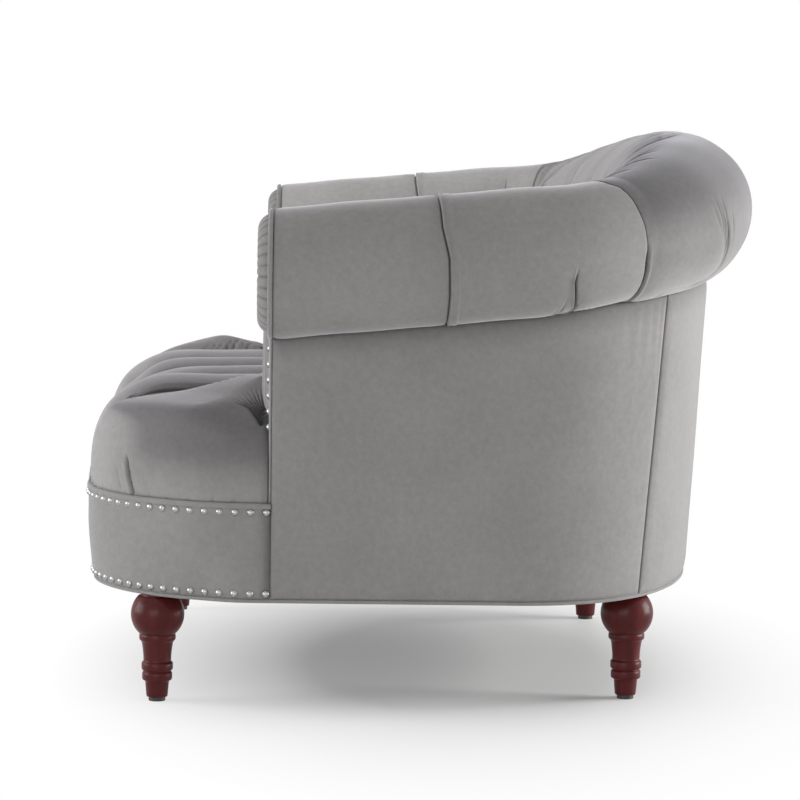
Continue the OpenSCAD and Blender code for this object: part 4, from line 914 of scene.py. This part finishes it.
def add_repeated(name, form, spots, material, node):
    """One piece of a small form set at several (spot, normal) pairs, its +Z along the normal."""
    form_points, form_faces = form
    points = []
    faces = []
    for spot, normal in spots:
        turn = Vector((0, 0, 1)).rotation_difference(Vector(normal)).to_matrix()
        faces += [[k + len(points) * len(form_points) for k in f] for f in form_faces]
        points.append(form_points @ np.array(turn).T + spot)
    piece = add_piece(name, np.concatenate(points), faces, material)
    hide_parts(node)


def on_surface(shaped, plain_spot):
    """A button's place over the shaped point nearest to a plain spot, with its direction."""
    flat = shaped.reshape(-1, 3)
    nearest = int(np.argmin(np.sum((flat - plain_spot) ** 2, axis=1)))
    i, j = divmod(nearest, shaped.shape[1])
    i0, i1 = max(i - normal_reach, 0), min(i + normal_reach, shaped.shape[0] - 1)
    j0, j1 = max(j - normal_reach, 0), min(j + normal_reach, shaped.shape[1] - 1)
    normal = np.cross(shaped[i1, j] - shaped[i0, j], shaped[i, j1] - shaped[i, j0])
    normal /= np.linalg.norm(normal)
    return flat[nearest] + button_lift * normal, normal


def seam_end(cover, way, lip):
    """The edge of a cover at the corner seam: nearly flush above, a groove below and inside."""
    toward = -1 if way > 0 else 1
    whole = [(-130, way), (300, way)]
    below = [(-130, way), (12, way)]
    inside = [(88, way), (300, way)]
    cover.crease(whole, 0.9, toward, width=0.9, broad=7, valley=0.25)
    cover.crease(below, 4.4, toward, (1, 34), width=1.5, lip=lip, broad=13, valley=0.8)
    cover.crease(inside, 5.0, toward, (30, 1), width=1.5, lip=lip, broad=16, valley=0.9)


low_place = 230.0
middle_place = 210.0
high_place = 190.0
seat_place = 268.0
button_lift = 1.0
normal_reach = 8


def tie_down(cover, tufts, way_of, drop_depth, diamond_depth):
    """The tufts of a cover, with a fold from each low one to the seat, and diamonds between."""
    for c, place, depth in tufts:
        tuft = (way_of(c), place)
        cover.relief.pit(cover.spot(*tuft), depth, 9)
        if place == low_place:
            cover.relief.fold(cover.line([tuft, (way_of(c), seat_place)]), drop_depth, 4, broad=26)
        for c2, place2, _ in tufts:
            if place == middle_place != place2 and abs(c2 - c) == 1:
                cover.relief.fold(cover.line([tuft, (way_of(c2), place2)]), diamond_depth, 3.6)


def buttons_on(shaped, cover, tufts, way_of):
    """Where the buttons of a cover's tufts sit, with their directions."""
    return [on_surface(shaped, cover.spot(way_of(c), place)) for c, place, depth in tufts]


# The back: two rows of seven tufts with six between them, counted from its middle
even_columns = (-6, -4, -2, 0, 2, 4, 6)
odd_columns = (-5, -3, -1, 1, 3, 5)
cover_gap = 0.15
fine_spots = [back_way(c) for c in even_columns]
fine_spots += [side * way for side in (-1, 1) for way in (188, 300, 322, seam_way)]
back_cover = Cover(spaced(seam_way - cover_gap, -seam_way + cover_gap, fine_spots, 1.8, 0.7))
relief = back_cover.relief
back_tufts = [(c, low_place, 16) for c in even_columns]
back_tufts += [(c, middle_place, 16) for c in odd_columns]
back_tufts += [(c, high_place, 12) for c in even_columns]
tie_down(back_cover, back_tufts, back_way, 8, 9)
for side in (-1, 1):
    for place in (low_place, high_place):
        last_fold = [(side * back_way(6), place), (side * seam_way, middle_place)]
        relief.fold(back_cover.line(last_fold), 7, 3.6)
    seam_end(back_cover, side * seam_way, 1.0)

# Folds from the upper tufts over the crest, and others on down the outside of the roll
crest_folds = [
    ([(84, 345), (100, 347), (116, 351), (127, 387), (138, 402), (147, 419), (196, 403)], 5.2, (34, 4)),
    ([(92, 284), (104, 290), (140, 300), (196, 297)], 5.2, (40, 4)),
    ([(82, 96), (90, 112), (102, 142), (110, 150), (121, 152), (196, 167.6)], 5.2, (30, 4)),
    ([(86, 392), (100, 398), (124, 424), (150, 432), (172, 430)], 2.4, (26, 26)),
    ([(88, 414), (104, 420), (128, 434), (150, 438)], 1.8, (26, 26)),
    ([(94, 262), (106, 268), (130, 276), (150, 280)], 1.6, (26, 30))]
crest_look = dict(width=1.3, lip=1.0, broad=20, valley=0.9)
# The folds on the outside of the corner, dark under the roll
outside_fold = [(-62, 338), (-54, 312), (-51, 291), (-41, 285), (-26, 298), (-12, 308), (1, 317),
                (16, 328)]
second_fold = [(-112, 214), (-70, 206), (-41, 197), (-17, 181), (12, 172)]
# Fine wrinkles beside them: how far along, and from which place to which
wrinkles = ((9, -30, 30), (16, -22, 24), (24, -16, 34), (33, -8, 26), (-9, -16, 18))
for side in (-1, 1):
    for path, depth, fade in crest_folds:
        back_cover.crease(path, 1.3 * depth, fade=fade, side=side, **crest_look)
    for shift in (9, 18, 28, 38):
        gather = [(78, 88 - shift), (90, 108 - shift), (104, 136 - shift), (118, 146 - shift)]
        back_cover.crease(gather, 1.2, width=1.2, fade=(14, 16), broad=6, valley=0.15, side=side)
    back_cover.crease(outside_fold, 7.5, 1, (8, 30), side, width=2.0, lip=1.3, broad=14, valley=0.8)
    back_cover.crease(second_fold, 6.0, 1, (2, 30), side, width=1.9, lip=1.1, broad=14, valley=0.8)
    for shift, low, top in wrinkles:
        wrinkle = [(low, 300 + shift), (top, 314 + 1.25 * shift)]
        back_cover.crease(wrinkle, 1.9, -side, (18, 20), side, width=1.4, broad=7, valley=0.1)
middle_seam = [(-120, 4), (96, 0), (196, 0)]
back_cover.crease(middle_seam, 4.6, 1, (1, 4), width=1.3, lip=0.9, broad=20, valley=0.9)
# Gathers along the underside, where the cloth is tacked
for k in range(-42, 43):
    way = 10.3 * k + 2.6 * math.sin(5.1 * k)
    top = -78 + 26 * math.sin(2.3 * k) ** 4
    gather = [(-130, way), (top, way + 3 * math.sin(1.7 * k))]
    back_cover.crease(gather, 2.6, width=1.5, fade=(1, 24), broad=6, valley=0.15)
full = 2.0 + 6.5 * ease((back_cover.place - 130) / 60)
# Painted light and shade on the back: darker on the top and outside of the roll, lighter inside, and lighter
# still on the left half
left_half = ease((80 - back_cover.ways[:, None]) / 70)
past_crest = back_cover.place - 118 + 22 * left_half
back_painted_shading = -0.17 * ease((back_cover.place + 45) / 30) - 0.3 * ease((back_cover.place + 5) / 45)
back_painted_shading = back_painted_shading * (1 - ease(past_crest / 30)) + ease(past_crest / 26) * (0.2 + 0.18 * left_half)
back_piece, back_shaped = back_cover.piece("velvet_back", full, back_painted_shading)
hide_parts("back_roll", "inside_back_pad")
button = button_form()
back_spots = buttons_on(back_shaped, back_cover, back_tufts, back_way)
add_repeated("back_tuft_buttons", button, back_spots, velvet, "back_buttons")

# The arms: both are one cover, and the left is its mirror image
fine_spots = [fold_way, fold_way - 11, arm_way(2), seam_way, spine.end]
arm_cover = Cover(spaced(spine.end, seam_way + cover_gap, fine_spots, 1.9, 0.6))
relief = arm_cover.relief
arm_tufts = [(-2, low_place, 13), (0, low_place, 13), (2, low_place, 13), (-1, middle_place, 13),
             (1, middle_place, 13), (0, high_place, 10), (2, high_place, 10)]
tie_down(arm_cover, arm_tufts, arm_way, 7, 8)
for place in (low_place, high_place):
    relief.fold(arm_cover.line([(arm_way(2), place), (seam_way, middle_place)]), 7, 3.6)
relief.fold(arm_cover.line([(arm_way(-1), middle_place), (arm_way(-2), 186)]), 6, 4, (0, 0.5))
relief.fold(arm_cover.line([(arm_way(-2), low_place), (spine.end, 216)]), 6, 4, (0, 0.4))
# The full fold over the arm: its doubled cloth lies behind it, wider outside than inside
outside = [(-130, fold_way), (112, fold_way)]
inside = [(96, fold_way), (196, fold_way)]
arm_cover.crease(outside, 5.0, fade=(1, 8), width=1.0, lip=1.4, band=1.2, broad=9, valley=0.5)
arm_cover.crease(inside, 5.0, fade=(8, 4), width=1.1, lip=1.3, band=1.0, band_width=4.5, broad=12,
                 valley=0.8)
# A softer fold behind it, on the inside only
softer = [(124, arm_way(2)), (196, arm_way(2))]
arm_cover.crease(softer, 4.5, fade=(30, 4), width=1.4, lip=0.8, broad=18, valley=0.8)
# The half tuck under the bend of the arm, with its gathers
tuck = arm_way(2) - 5
half_tuck = [(-130, tuck + 2), (-66, tuck - 6), (-29, tuck + 2), (-10, tuck + 1)]
arm_cover.crease(half_tuck, 5.4, 1, (1, 20), width=1.0, lip=1.7, broad=12, valley=0.8)
for shift, top, depth in ((-5, -30, 1.8), (-10, -38, 1.6), (-16, -46, 1.4), (-23, -54, 1.2), (8, -40, 1.5),
                          (15, -52, 1.2)):
    gather = [(-130, tuck + 1.5 * shift), (top, tuck + 0.7 * shift)]
    arm_cover.crease(gather, depth, width=1.3, fade=(1, 26), broad=6, valley=0.1)
# Fine gathers where the cloth is tacked under the roll beside the corner
for k in range(12):
    way = seam_way + 8 + 7.2 * k
    gather = [(-130, way), (-66 + 8 * math.sin(3.1 * k), way + 2 * math.sin(k))]
    arm_cover.crease(gather, 1.5, width=1.4, fade=(1, 18), broad=6, valley=0.1)
seam_end(arm_cover, seam_way, 0.0)
arm_cover.crease([(-130, spine.end), (300, spine.end)], 3.6, width=1.6, broad=8, valley=0.8)
full = 1.5 + 5.5 * ease((arm_cover.place - 130) / 60)
# Painted light: the cloth is painted lighter over the top of the roll and down its inside
arm_painted_light = 0.7 * ease((arm_cover.place - 56) / 52)
arm_spots = []
for name, mirrored in both_sides:
    arm_piece, arm_shaped = arm_cover.piece("velvet_arm_" + name, full, arm_painted_light, mirrored)
    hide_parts("arm_roll_" + name, "inside_arm_pad_" + name)
    flip = np.array([-1.0, 1.0, 1.0]) if mirrored else np.ones(3)
    arm_spots += [(spot * flip, normal * flip)
                  for spot, normal in buttons_on(arm_shaped, arm_cover, arm_tufts, arm_way)]
add_repeated("arm_tuft_buttons", button, arm_spots, velvet, "arm_buttons")

seat_spots = []
for x, row in tufts:
    spot, normal = on_surface(seat_top, seat_height(x, tuft_y(x, row)))
    seat_spots.append((spot, normal if normal[2] > 0 else -normal))
add_repeated("seat_tuft_buttons", button, seat_spots, velvet, "seat_buttons")


# Outside panels
# Thinly padded velvet panels, tacked under the roll and under the base, that meet in a
# blind seam at each rear corner.

panel_low = 145.3
panel_thick = 6.0
panel_drop = 1.0
panel_swell = 2.2
shade_under_roll = 0.2
shade_height = 40
rear_seam_foot = 49.0
rear_seam_top = 43.7
seam_half = 0.06


def panel_grid(low_ways, top_ways, rows=110):
    """The outer face of a panel, from the base edge up to the roll."""
    foot = spine.at(low_ways)
    head = spine.at(top_ways)
    low = foot.centre + foot.low[:, None] * foot.outward
    high = head.centre + head.top[:, None] * head.outward
    top_z = head.height - np.sqrt(np.maximum(head.radius ** 2 - head.top ** 2, 0)) - panel_drop
    v = np.linspace(0, 1, rows)[None, :, None]
    flat = low[:, None] + (high - low)[:, None] * v
    z = panel_low + v * (top_z - panel_low)[:, None, None]
    return np.concatenate([flat, z], -1)


def add_panel(name, grid, seam_rows, gathers, mirrored=False):
    """A panel that is drawn in along its edges: deeper where its seam is."""
    relief = Relief(grid, grid_normals(grid))
    for line, depth, width, broad in seam_rows:
        relief.fold(line, depth, width, broad=broad, valley=0.9)
    for line, depth in gathers:
        relief.fold(line, depth, 2.4, (0.1, 0.8), broad=8, valley=0.2)
    outer = relief.shaped(panel_swell)
    inner = grid - grid_normals(grid) * panel_thick
    points, faces = closed_shell(outer, inner)
    # Painted shade under the roll and in the folds
    under_roll = grid[..., 2].max(axis=1, keepdims=True) - grid[..., 2]
    painted_shading = -shade_under_roll * (1 - ease(under_roll / shade_height)) - relief.painted_fold_shade()
    return add_piece(name, points, faces, velvet, painted_shading, mirrored)


corner_share = np.linspace(0, 1, 24)[1:]
seam_foot = float(spine.way_at(rear_seam_foot + seam_half))
seam_top = float(spine.way_at(rear_seam_top + seam_half))
side_ways = spaced(spine.end, seam_way, [spine.end], 5.0, 1.2)
fine_end = 1 - (1 - corner_share) ** 1.6
last_low = seam_way + (seam_foot - seam_way) * fine_end
last_top = seam_way + (seam_top - seam_way) * fine_end
side_grid = panel_grid(np.concatenate([side_ways, last_low]), np.concatenate([side_ways, last_top]))
side_seams = [(side_grid[-1], 3.2, 1.6, 9), (side_grid[0], 1.8, 2.0, 9), (side_grid[:, 0], 1.4, 2.2, 12),
              (side_grid[:, -1], 2.6, 3.0, 12)]
side_gathers = [(side_grid[-8 - 4 * k, :70:-4], 1.0 - 0.12 * k) for k in range(4)]
for name, mirrored in both_sides:
    panel = add_panel("velvet_side_" + name, side_grid, side_seams, side_gathers, mirrored)
    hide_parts("outside_arm_panel_" + name)

back_share = spaced(1.0, -1.0, [-1.0, 1.0], 0.014, 0.0035, 0.03)
back_low = back_share * float(spine.way_at(rear_seam_foot - seam_half))
back_top = back_share * float(spine.way_at(rear_seam_top - seam_half))
back_outer = panel_grid(back_low, back_top)
back_seams = [(back_outer[0], 2.4, 1.4, 8), (back_outer[-1], 2.4, 1.4, 8), (back_outer[:, 0], 1.4, 2.2, 12),
              (back_outer[:, -1], 2.6, 3.0, 12)]
panel = add_panel("velvet_outside_back", back_outer, back_seams, [])
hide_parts("outside_back_panel")


# Front band, strip and base welt
# A padded velvet band round the front rail, drawn in a little at its foot, with a flat
# strip along its upper edge and a welt cord all round the base.

base_corner = 229.0
band_end = arm_front - 0.3
band_low = 145.3
band_high = 268.1
foot_in = 7.0
foot_top = 228.0
foot_height = 95.0
band_thick = 7.0
band_swell = 1.2


def base_front(step=3.2):
    """The base's front from the right arm round to the left, with directions outwards."""
    turn = np.linspace(0, np.pi / 2, int(base_corner * np.pi / 2 / step))
    right = np.stack([corner_x + base_corner * np.cos(turn), corner_y - base_corner * np.sin(turn)], -1)
    x = np.linspace(corner_x, -corner_x, int(2 * corner_x / step))[1:-1]
    middle = np.stack([x, corner_y - base_corner - front_bow * (1 + np.cos(np.pi * x / corner_x))], -1)
    line = np.concatenate([[[side_x, band_end]], right, middle, (right * (-1, 1))[::-1],
                           [[-side_x, band_end]]])
    tangent = np.gradient(line, axis=0)
    out = np.stack([tangent[:, 1], -tangent[:, 0]], -1)
    out /= np.linalg.norm(out, axis=-1, keepdims=True)
    return line, out if out[0, 0] > 0 else -out


front_line, front_out = base_front()


def foot_taper(z):
    """How far the band is drawn in towards its foot: not beside the arms."""
    return foot_in * ease((-235 - front_line[:, 1]) / 60) * ease((foot_top - z) / foot_height)


def band_face(z, proud=0.0):
    """Points of the band's face at one height."""
    flat = front_line + front_out * (proud - foot_taper(z))[:, None]
    return np.concatenate([flat, np.full((len(flat), 1), z)], -1)


band_heights = spaced(band_low, band_high, [band_low, band_high], 3.0, 0.8, 5.0)
band_grid = np.stack([band_face(z) for z in band_heights], 1)
relief = Relief(band_grid, -grid_normals(band_grid))
for edge, depth, width, broad in ((band_grid[:, 0], 1.6, 2.0, 9), (band_grid[:, -1], 1.0, 1.6, 6),
                                  (band_grid[0], 1.6, 2.4, 12), (band_grid[-1], 1.6, 2.4, 12)):
    relief.fold(edge, depth, width, broad=broad)
band_outer = relief.shaped(band_swell)
band_inner = np.stack([band_face(z, -band_thick) for z in band_heights], 1)
points, faces = closed_shell(band_outer, band_inner, flip=True)
# The band carries painted shade in the folds along its edges
band = add_piece("velvet_front_band", points, faces, velvet, -relief.painted_fold_shade())
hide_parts("front_band")

# The strip's section: how far it stands proud of the band at each height
strip_shape = {260.6: 0.4, 260.8: 1.9, 261.8: 2.5, 264.0: 2.6, 266.4: 2.5, 267.6: 1.9, 267.9: 0.4}
strip_sunk = 0.5
strip_outer = np.stack([band_face(z, proud) for z, proud in strip_shape.items()], 1)
strip_inner = np.stack([band_face(z, -strip_sunk) for z in strip_shape], 1)
points, faces = closed_shell(strip_outer, strip_inner, flip=True)
strip = add_piece("velvet_strip", points, faces, velvet)
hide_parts("band_strip")


def tube(line, radius, steps=14):
    """Points and faces of a cord along a ring of points that lies flat."""
    tangent = np.roll(line, -1, 0) - np.roll(line, 1, 0)
    tangent /= np.linalg.norm(tangent, axis=1, keepdims=True)
    up = np.tile([0.0, 0.0, 1.0], (len(line), 1))
    side = np.cross(tangent, up)
    turn = np.linspace(0, 2 * np.pi, steps, endpoint=False)[None, :, None]
    rings = line[:, None] + radius * (np.cos(turn) * side[:, None] + np.sin(turn) * up[:, None])
    rings = np.concatenate([rings, rings[:1]])
    return rings.reshape(-1, 3), grid_faces(len(rings), steps, wrap=True, flip=True)


cord_radius = 2.5
cord_z = 142.6
side_points = 40
cord_front = band_face(band_low, -cord_radius)[:, :2]
angles = np.linspace(-90, 90, 120)
cord_rear = squared(side_x, rear_depth, turn_y, angles)
cord_rear = cord_rear - cord_radius * squared_normal(side_x, rear_depth, angles)
sides = np.linspace(arm_front + 8, turn_y - 8, side_points)
cord_x = np.full(side_points, side_x - cord_radius)
cord_plan = np.concatenate([cord_front, np.stack([-cord_x, sides], -1), cord_rear,
                            np.stack([cord_x, sides[::-1]], -1)])
cord_line = np.concatenate([cord_plan, np.full((len(cord_plan), 1), cord_z)], -1)
points, faces = tube(cord_line, cord_radius)
welt = add_piece("velvet_base_welt", points, faces, velvet)
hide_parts("base_welt_cord")


# Fronts of the arms
# A velvet panel, pleated towards the seat and nailed down its flat outer edge, below a
# scroll facing whose velvet is pleated into a covered button, with a welt round it.

arm_face = band_end
facing_radius = 76.0
facing_bulge = 20.0
facing_dip = 10.0
facing_flat = 0.73
welt_radius = 3.2
welt_ring = 79.5
pleats = 16
long_pleat = 3.0
short_pleat = 2.2

# The facing: rings from its button out to its rim, flat first and then rounded over
facing_steps = pleats * 40
over_edge = np.sin(np.linspace(0, np.pi / 2, 22)[1:])
shares = np.concatenate([np.linspace(0.05, facing_flat, 26), facing_flat + (1 - facing_flat) * over_edge])
turn = np.linspace(0, 2 * np.pi, facing_steps, endpoint=False)
rounding = np.clip((shares - facing_flat) / (1 - facing_flat), 0, 1)
disc_lift = facing_bulge * np.sqrt(1 - rounding ** 2) - facing_dip * np.clip(1 - shares / 0.45, 0, 1) ** 2
main_gap = np.abs(np.sin(turn * pleats / 2)) * 2 / pleats * facing_radius * shares[:, None]
short_gap = np.abs(np.cos(turn * pleats / 2)) * 2 / pleats * facing_radius * shares[:, None]
main_depth = (long_pleat * ease(shares / 0.25) * (1 - 0.2 * shares))[:, None]
short_depth = (short_pleat * ease((shares - 0.4) / 0.3))[:, None]
folded = main_depth * np.exp(-main_gap / 1.9) + short_depth * np.exp(-short_gap / 1.7)
outwards = rounding[:, None] ** 2
lift = np.maximum(disc_lift[:, None] - folded * np.sqrt(1 - outwards), 0.2)
reach = facing_radius * shares[:, None] - folded * np.sqrt(outwards) * 0.85
disc = np.stack([reach * np.cos(turn), reach * np.sin(turn), lift], -1)
rim = disc[-1] * (1, 1, 0)
disc = np.concatenate([disc, rim[None]])
disc_points = disc.reshape(-1, 3)
disc_faces = grid_faces(len(disc), facing_steps, wrap=True)
disc_faces.append(list(range(facing_steps))[::-1])
disc_faces.append(list(range((len(disc) - 1) * facing_steps, len(disc) * facing_steps)))


def on_arm_face(points, depth):
    """Points with +Z forwards, moved to the front of the right arm."""
    return np.stack([roll_x + points[:, 0], arm_face - depth - points[:, 2], scroll_z + points[:, 1]], -1)


def both_arms(name, points, faces, node, painted_shading=None):
    """The same piece on both arms, the left one mirrored."""
    for side, mirrored in both_sides:
        piece = add_piece(name + side, points, faces, velvet, painted_shading, mirrored)
        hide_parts(node + side)


# Painted shade in the pleats of the facing
facing_painted_shade = -0.45 * np.clip(folded / long_pleat, 0, 1)
both_arms("velvet_facing_", on_arm_face(disc_points, 0), disc_faces, "arm_facing_", facing_painted_shade)
# The welt round it
ring_steps = 120
section_steps = 16
turn = np.linspace(0, 2 * np.pi, ring_steps, endpoint=False)[:, None]
section = np.linspace(0, 2 * np.pi, section_steps, endpoint=False)[None]
ring = np.stack([(welt_ring + welt_radius * np.cos(section)) * np.cos(turn),
                 (welt_ring + welt_radius * np.cos(section)) * np.sin(turn),
                 np.repeat(welt_radius * np.sin(section), ring_steps, 0)], -1)
ring = np.concatenate([ring, ring[:1]])
both_arms("velvet_welt_", on_arm_face(ring.reshape(-1, 3), welt_radius),
          grid_faces(len(ring), section_steps, wrap=True, flip=True), "facing_welt_")
small_points, small_faces = button_form(10.0, 6.0)
both_arms("velvet_facing_button_", on_arm_face(small_points, facing_bulge - facing_dip + 1.0),
          [f[::-1] for f in small_faces], "facing_button_")

# The panel below the facing: flat where it is nailed, full and pleated towards the seat
panel_depth = 4.0
panel_rows = 110
panel_edge_x = 449.0
pleat_full = 9.0
pleat_depth = 3.0
pleats_from = 336
pleat_pitch = 12.5
flat_from = 425.0
inner_edge = arm_cover.spot(np.full(panel_rows, spine.end), np.linspace(280, 181, panel_rows))
across_share = np.linspace(0, 1, 130)
panel_x = inner_edge[:, :1] + (panel_edge_x - inner_edge[:, :1]) * across_share
panel_z = np.repeat(inner_edge[:, 2:], panel_x.shape[1], 1)
# It stops just below the welt, and is flat where the seat's ear lies against it
clear = welt_ring + welt_radius + 0.3
gap = clear ** 2 - (panel_x - roll_x) ** 2
no_ceiling = 1e9
ceiling = np.where(gap > 0, scroll_z - np.sqrt(np.maximum(gap, 0)), no_ceiling)
panel_z = np.minimum(panel_z, ceiling)
ear_depths, ear_heights = np.transpose(edge_profiles["arm"])
ear_top = seam_z + np.interp(corner_x + seat_corner_radius - panel_x, ear_depths, ear_heights)
above_ear = ease((panel_z - ear_top - 6) / 12)
under_welt = 1 - 0.6 * ease(1 - (ceiling - panel_z) / 14)
full = 0.55 * ease((flat_from - panel_x) / 9) + 0.45 * ease((flat_from - panel_x) / 46)
full = full * ease((panel_x - inner_edge[:, :1]) / 14)
pleat_cut = np.exp(-(np.abs((panel_x - pleats_from) % pleat_pitch - pleat_pitch / 2) / 1.5))
depth = panel_depth + above_ear * full * (pleat_full * under_welt - pleat_depth * pleat_cut)
panel_face = np.stack([panel_x, arm_face - depth, panel_z], -1)
relief = Relief(panel_face, np.tile([0.0, -1.0, 0.0], (*panel_face.shape[:2], 1)))
relief.fold(panel_face[:, -1], 1.6, 2.0, broad=8)
outer = relief.shaped(0.3)
inner = panel_face.copy()
inner[..., 1] = arm_face
points, faces = closed_shell(outer, inner, flip=True)
# Painted shade in the cuts of the pleats, and below where the seat's ear lies against the panel
arm_front_painted_shade = -0.4 * pleat_cut * above_ear * full - 0.2 * (1 - above_ear)
both_arms("velvet_arm_front_", points, faces, "arm_front_panel_", arm_front_painted_shade)


# Nails
# Polished nickel nails with low domed heads, in two rows on the front band and one row
# down the front of each arm.

nickel = two_tone("polished_nickel", (260, 3), (0.3, 0.3, 0.3), (0.4, 0.395, 0.39), (0.26, 0.36),
                  metallic=1.0)

nail_radius = 4.7
nail_height = 3.0
nail_rim = -0.6
nail_pitch = 20.0
nail_margin = 5.5
lower_row = (152.0, 0.8)
upper_row = (256.2, 1.0)
arm_nail_x = 439.3
arm_nail_top = 464.3
arm_nail_count = 6
nail_lift = 0.2
ball = (nail_radius ** 2 + nail_height ** 2) / (2 * nail_height)
spread = math.asin(nail_radius / ball)
head = [(ball * math.sin(q), nail_height - ball + ball * math.cos(q)) for q in np.linspace(spread, 0.06, 9)]
nail = lathe([(nail_radius, nail_rim)] + head, 28)


def row_of_nails(z, proud):
    """Nails at even steps along the front band at one height."""
    line = band_face(z, proud)
    lengths = np.concatenate([[0], np.cumsum(np.linalg.norm(np.diff(line, axis=0), axis=1))])
    count = round((lengths[-1] - 2 * nail_margin) / nail_pitch) + 1
    spots = []
    for place in np.linspace(nail_margin, lengths[-1] - nail_margin, count):
        spot = np.array([np.interp(place, lengths, line[:, axis]) for axis in range(3)])
        out = np.array([np.interp(place, lengths, front_out[:, axis]) for axis in range(2)])
        out /= np.linalg.norm(out)
        spots.append((spot, (out[0], out[1], 0.0)))
    return spots


add_repeated("nickel_nails_lower", nail, row_of_nails(*lower_row), nickel, "nails_lower_row")
add_repeated("nickel_nails_upper", nail, row_of_nails(*upper_row), nickel, "nails_upper_row")
for side, sign in (("right", 1), ("left", -1)):
    spots = [((sign * arm_nail_x, arm_face - panel_depth - nail_lift, arm_nail_top - nail_pitch * k),
              (0.0, -1.0, 0.0)) for k in range(arm_nail_count)]
    add_repeated("nickel_nails_arm_" + side, nail, spots, nickel, "nails_arm_" + side)


# Studio
# A pale floor, soft lamps over and behind the chair, and a camera far off at its side.

def seen_plainly(tree):
    """1 for what the camera sees, straight or in metal or glass, and 0 for light on things."""
    paths = add_node(tree, "LightPath", {}).outputs
    mirrored = math_node(tree, "MAXIMUM", paths["Is Glossy Ray"], paths["Is Transmission Ray"])
    return math_node(tree, "MAXIMUM", paths["Is Camera Ray"], mirrored)


world = bpy.data.worlds.new("studio_sky")
world.use_nodes = True
bpy.context.scene.world = world
sky = world.node_tree
# The sky lights the chair more from its rim than from overhead, and is plain white to look at
direction = add_node(sky, "TexCoord", {}).outputs["Generated"]
height = add_node(sky, "SeparateXYZ", {"Vector": direction}).outputs["Z"]
rim_light = remap(sky, height, 0.0, 0.9, 0.78, 0.3)
seen = add_node(sky, "Mix", {"Factor": seen_plainly(sky), "A": rim_light, "B": 1.0})
plug(sky, sky.nodes["Background"], {"Strength": seen.outputs["Result"], "Color": (1.0, 1.0, 1.0, 1.0)})

floor_half = 14
floor_mesh = bpy.data.meshes.new("floor")
corners = [(x * floor_half, y * floor_half, 0) for x, y in ((-1, -1), (1, -1), (1, 1), (-1, 1))]
floor_mesh.from_pydata(corners, [], [(0, 1, 2, 3)])
floor = bpy.data.objects.new("floor", floor_mesh)
bpy.context.scene.collection.objects.link(floor)
floor_material, tree, shader = new_material("pale_floor")
plug(tree, shader, {"Base Color": (0.9, 0.9, 0.9, 1.0), "Roughness": 0.55, "Specular IOR Level": 0.2})
white = add_node(tree, "Emission", {"Color": (1.0, 1.0, 1.0, 1.0), "Strength": 1.0})
# The floor fades to white round an oval of soft shadow
place = add_node(tree, "TexCoord", {}).outputs["Object"]
oval = add_node(tree, "Mapping", {"Vector": place, "Location": (-0.08, -0.11, 0.0),
                                  "Scale": (1.0, 1.78, 1.0)})
length = add_node(tree, "VectorMath", {0: oval.outputs["Vector"]}, operation="LENGTH")
away = remap(tree, length.outputs["Value"], 0.36, 1.0, 0.03, 1.0)
whiteness = math_node(tree, "MULTIPLY", away, seen_plainly(tree))
mix = add_node(tree, "MixShader", {"Fac": whiteness, 1: shader.outputs["BSDF"], 2: white.outputs["Emission"]})
plug(tree, tree.nodes["Material Output"], {"Surface": mix.outputs["Shader"]})
floor_mesh.materials.append(floor_material)


def add_lamp(name, spot, target, size, power, colour):
    """A soft lamp that points from its spot to a target; lengths in metres, power in watts."""
    lamp = bpy.data.lights.new(name, "AREA")
    lamp.shape = "RECTANGLE"
    lamp.size, lamp.size_y = size
    lamp.energy = power
    lamp.color = colour
    holder = bpy.data.objects.new(name, lamp)
    holder.location = spot
    holder.rotation_euler = (Vector(target) - Vector(spot)).to_track_quat("-Z", "Y").to_euler()
    bpy.context.scene.collection.objects.link(holder)


add_lamp("overhead", (0.0, 0.0, 3.2), (0, 0, 0.4), (3.0, 3.0), 22, (0.95, 0.93, 1.0))
add_lamp("behind_back", (0.0, 3.4, 0.9), (0, 0, 0.5), (2.0, 1.8), 150, (1.0, 0.995, 0.98))
add_lamp("before_front", (0.2, -3.4, 1.0), (0, 0, 0.4), (2.4, 1.6), 78, (0.98, 0.97, 1.0))
add_lamp("beside_chair", (4.4, -1.3, 0.9), (0, 0, 0.4), (3.0, 1.6), 48, (1.0, 0.99, 0.97))

# The camera's place, angles and length of lens were fitted to the photograph of the chair
focal_pixels = 3340.5
picture_pixels = 800
sensor = 36.0
camera_spot = (4.65654, -0.14766, 0.80672)
camera_data = bpy.data.cameras.new("side_camera")
camera_data.sensor_width = sensor
camera_data.lens = focal_pixels * sensor / picture_pixels
camera_data.clip_end = 60
camera = bpy.data.objects.new("side_camera", camera_data)
bpy.context.scene.collection.objects.link(camera)
yaw, pitch, roll = 0.026889, 0.095838, 0.01502
ahead = Vector((-math.cos(yaw) * math.cos(pitch), math.sin(yaw) * math.cos(pitch), -math.sin(pitch)))
right = Vector((math.sin(yaw), math.cos(yaw), 0.0))
up = right.cross(ahead)
level_right = right * math.cos(roll) + up * math.sin(roll)
level_up = -right * math.sin(roll) + up * math.cos(roll)
turn = Matrix((level_right, level_up, -ahead)).transposed().to_4x4()
camera.matrix_world = Matrix.Translation(camera_spot) @ turn
bpy.context.scene.camera = camera
bpy.context.scene.view_settings.view_transform = "Standard"
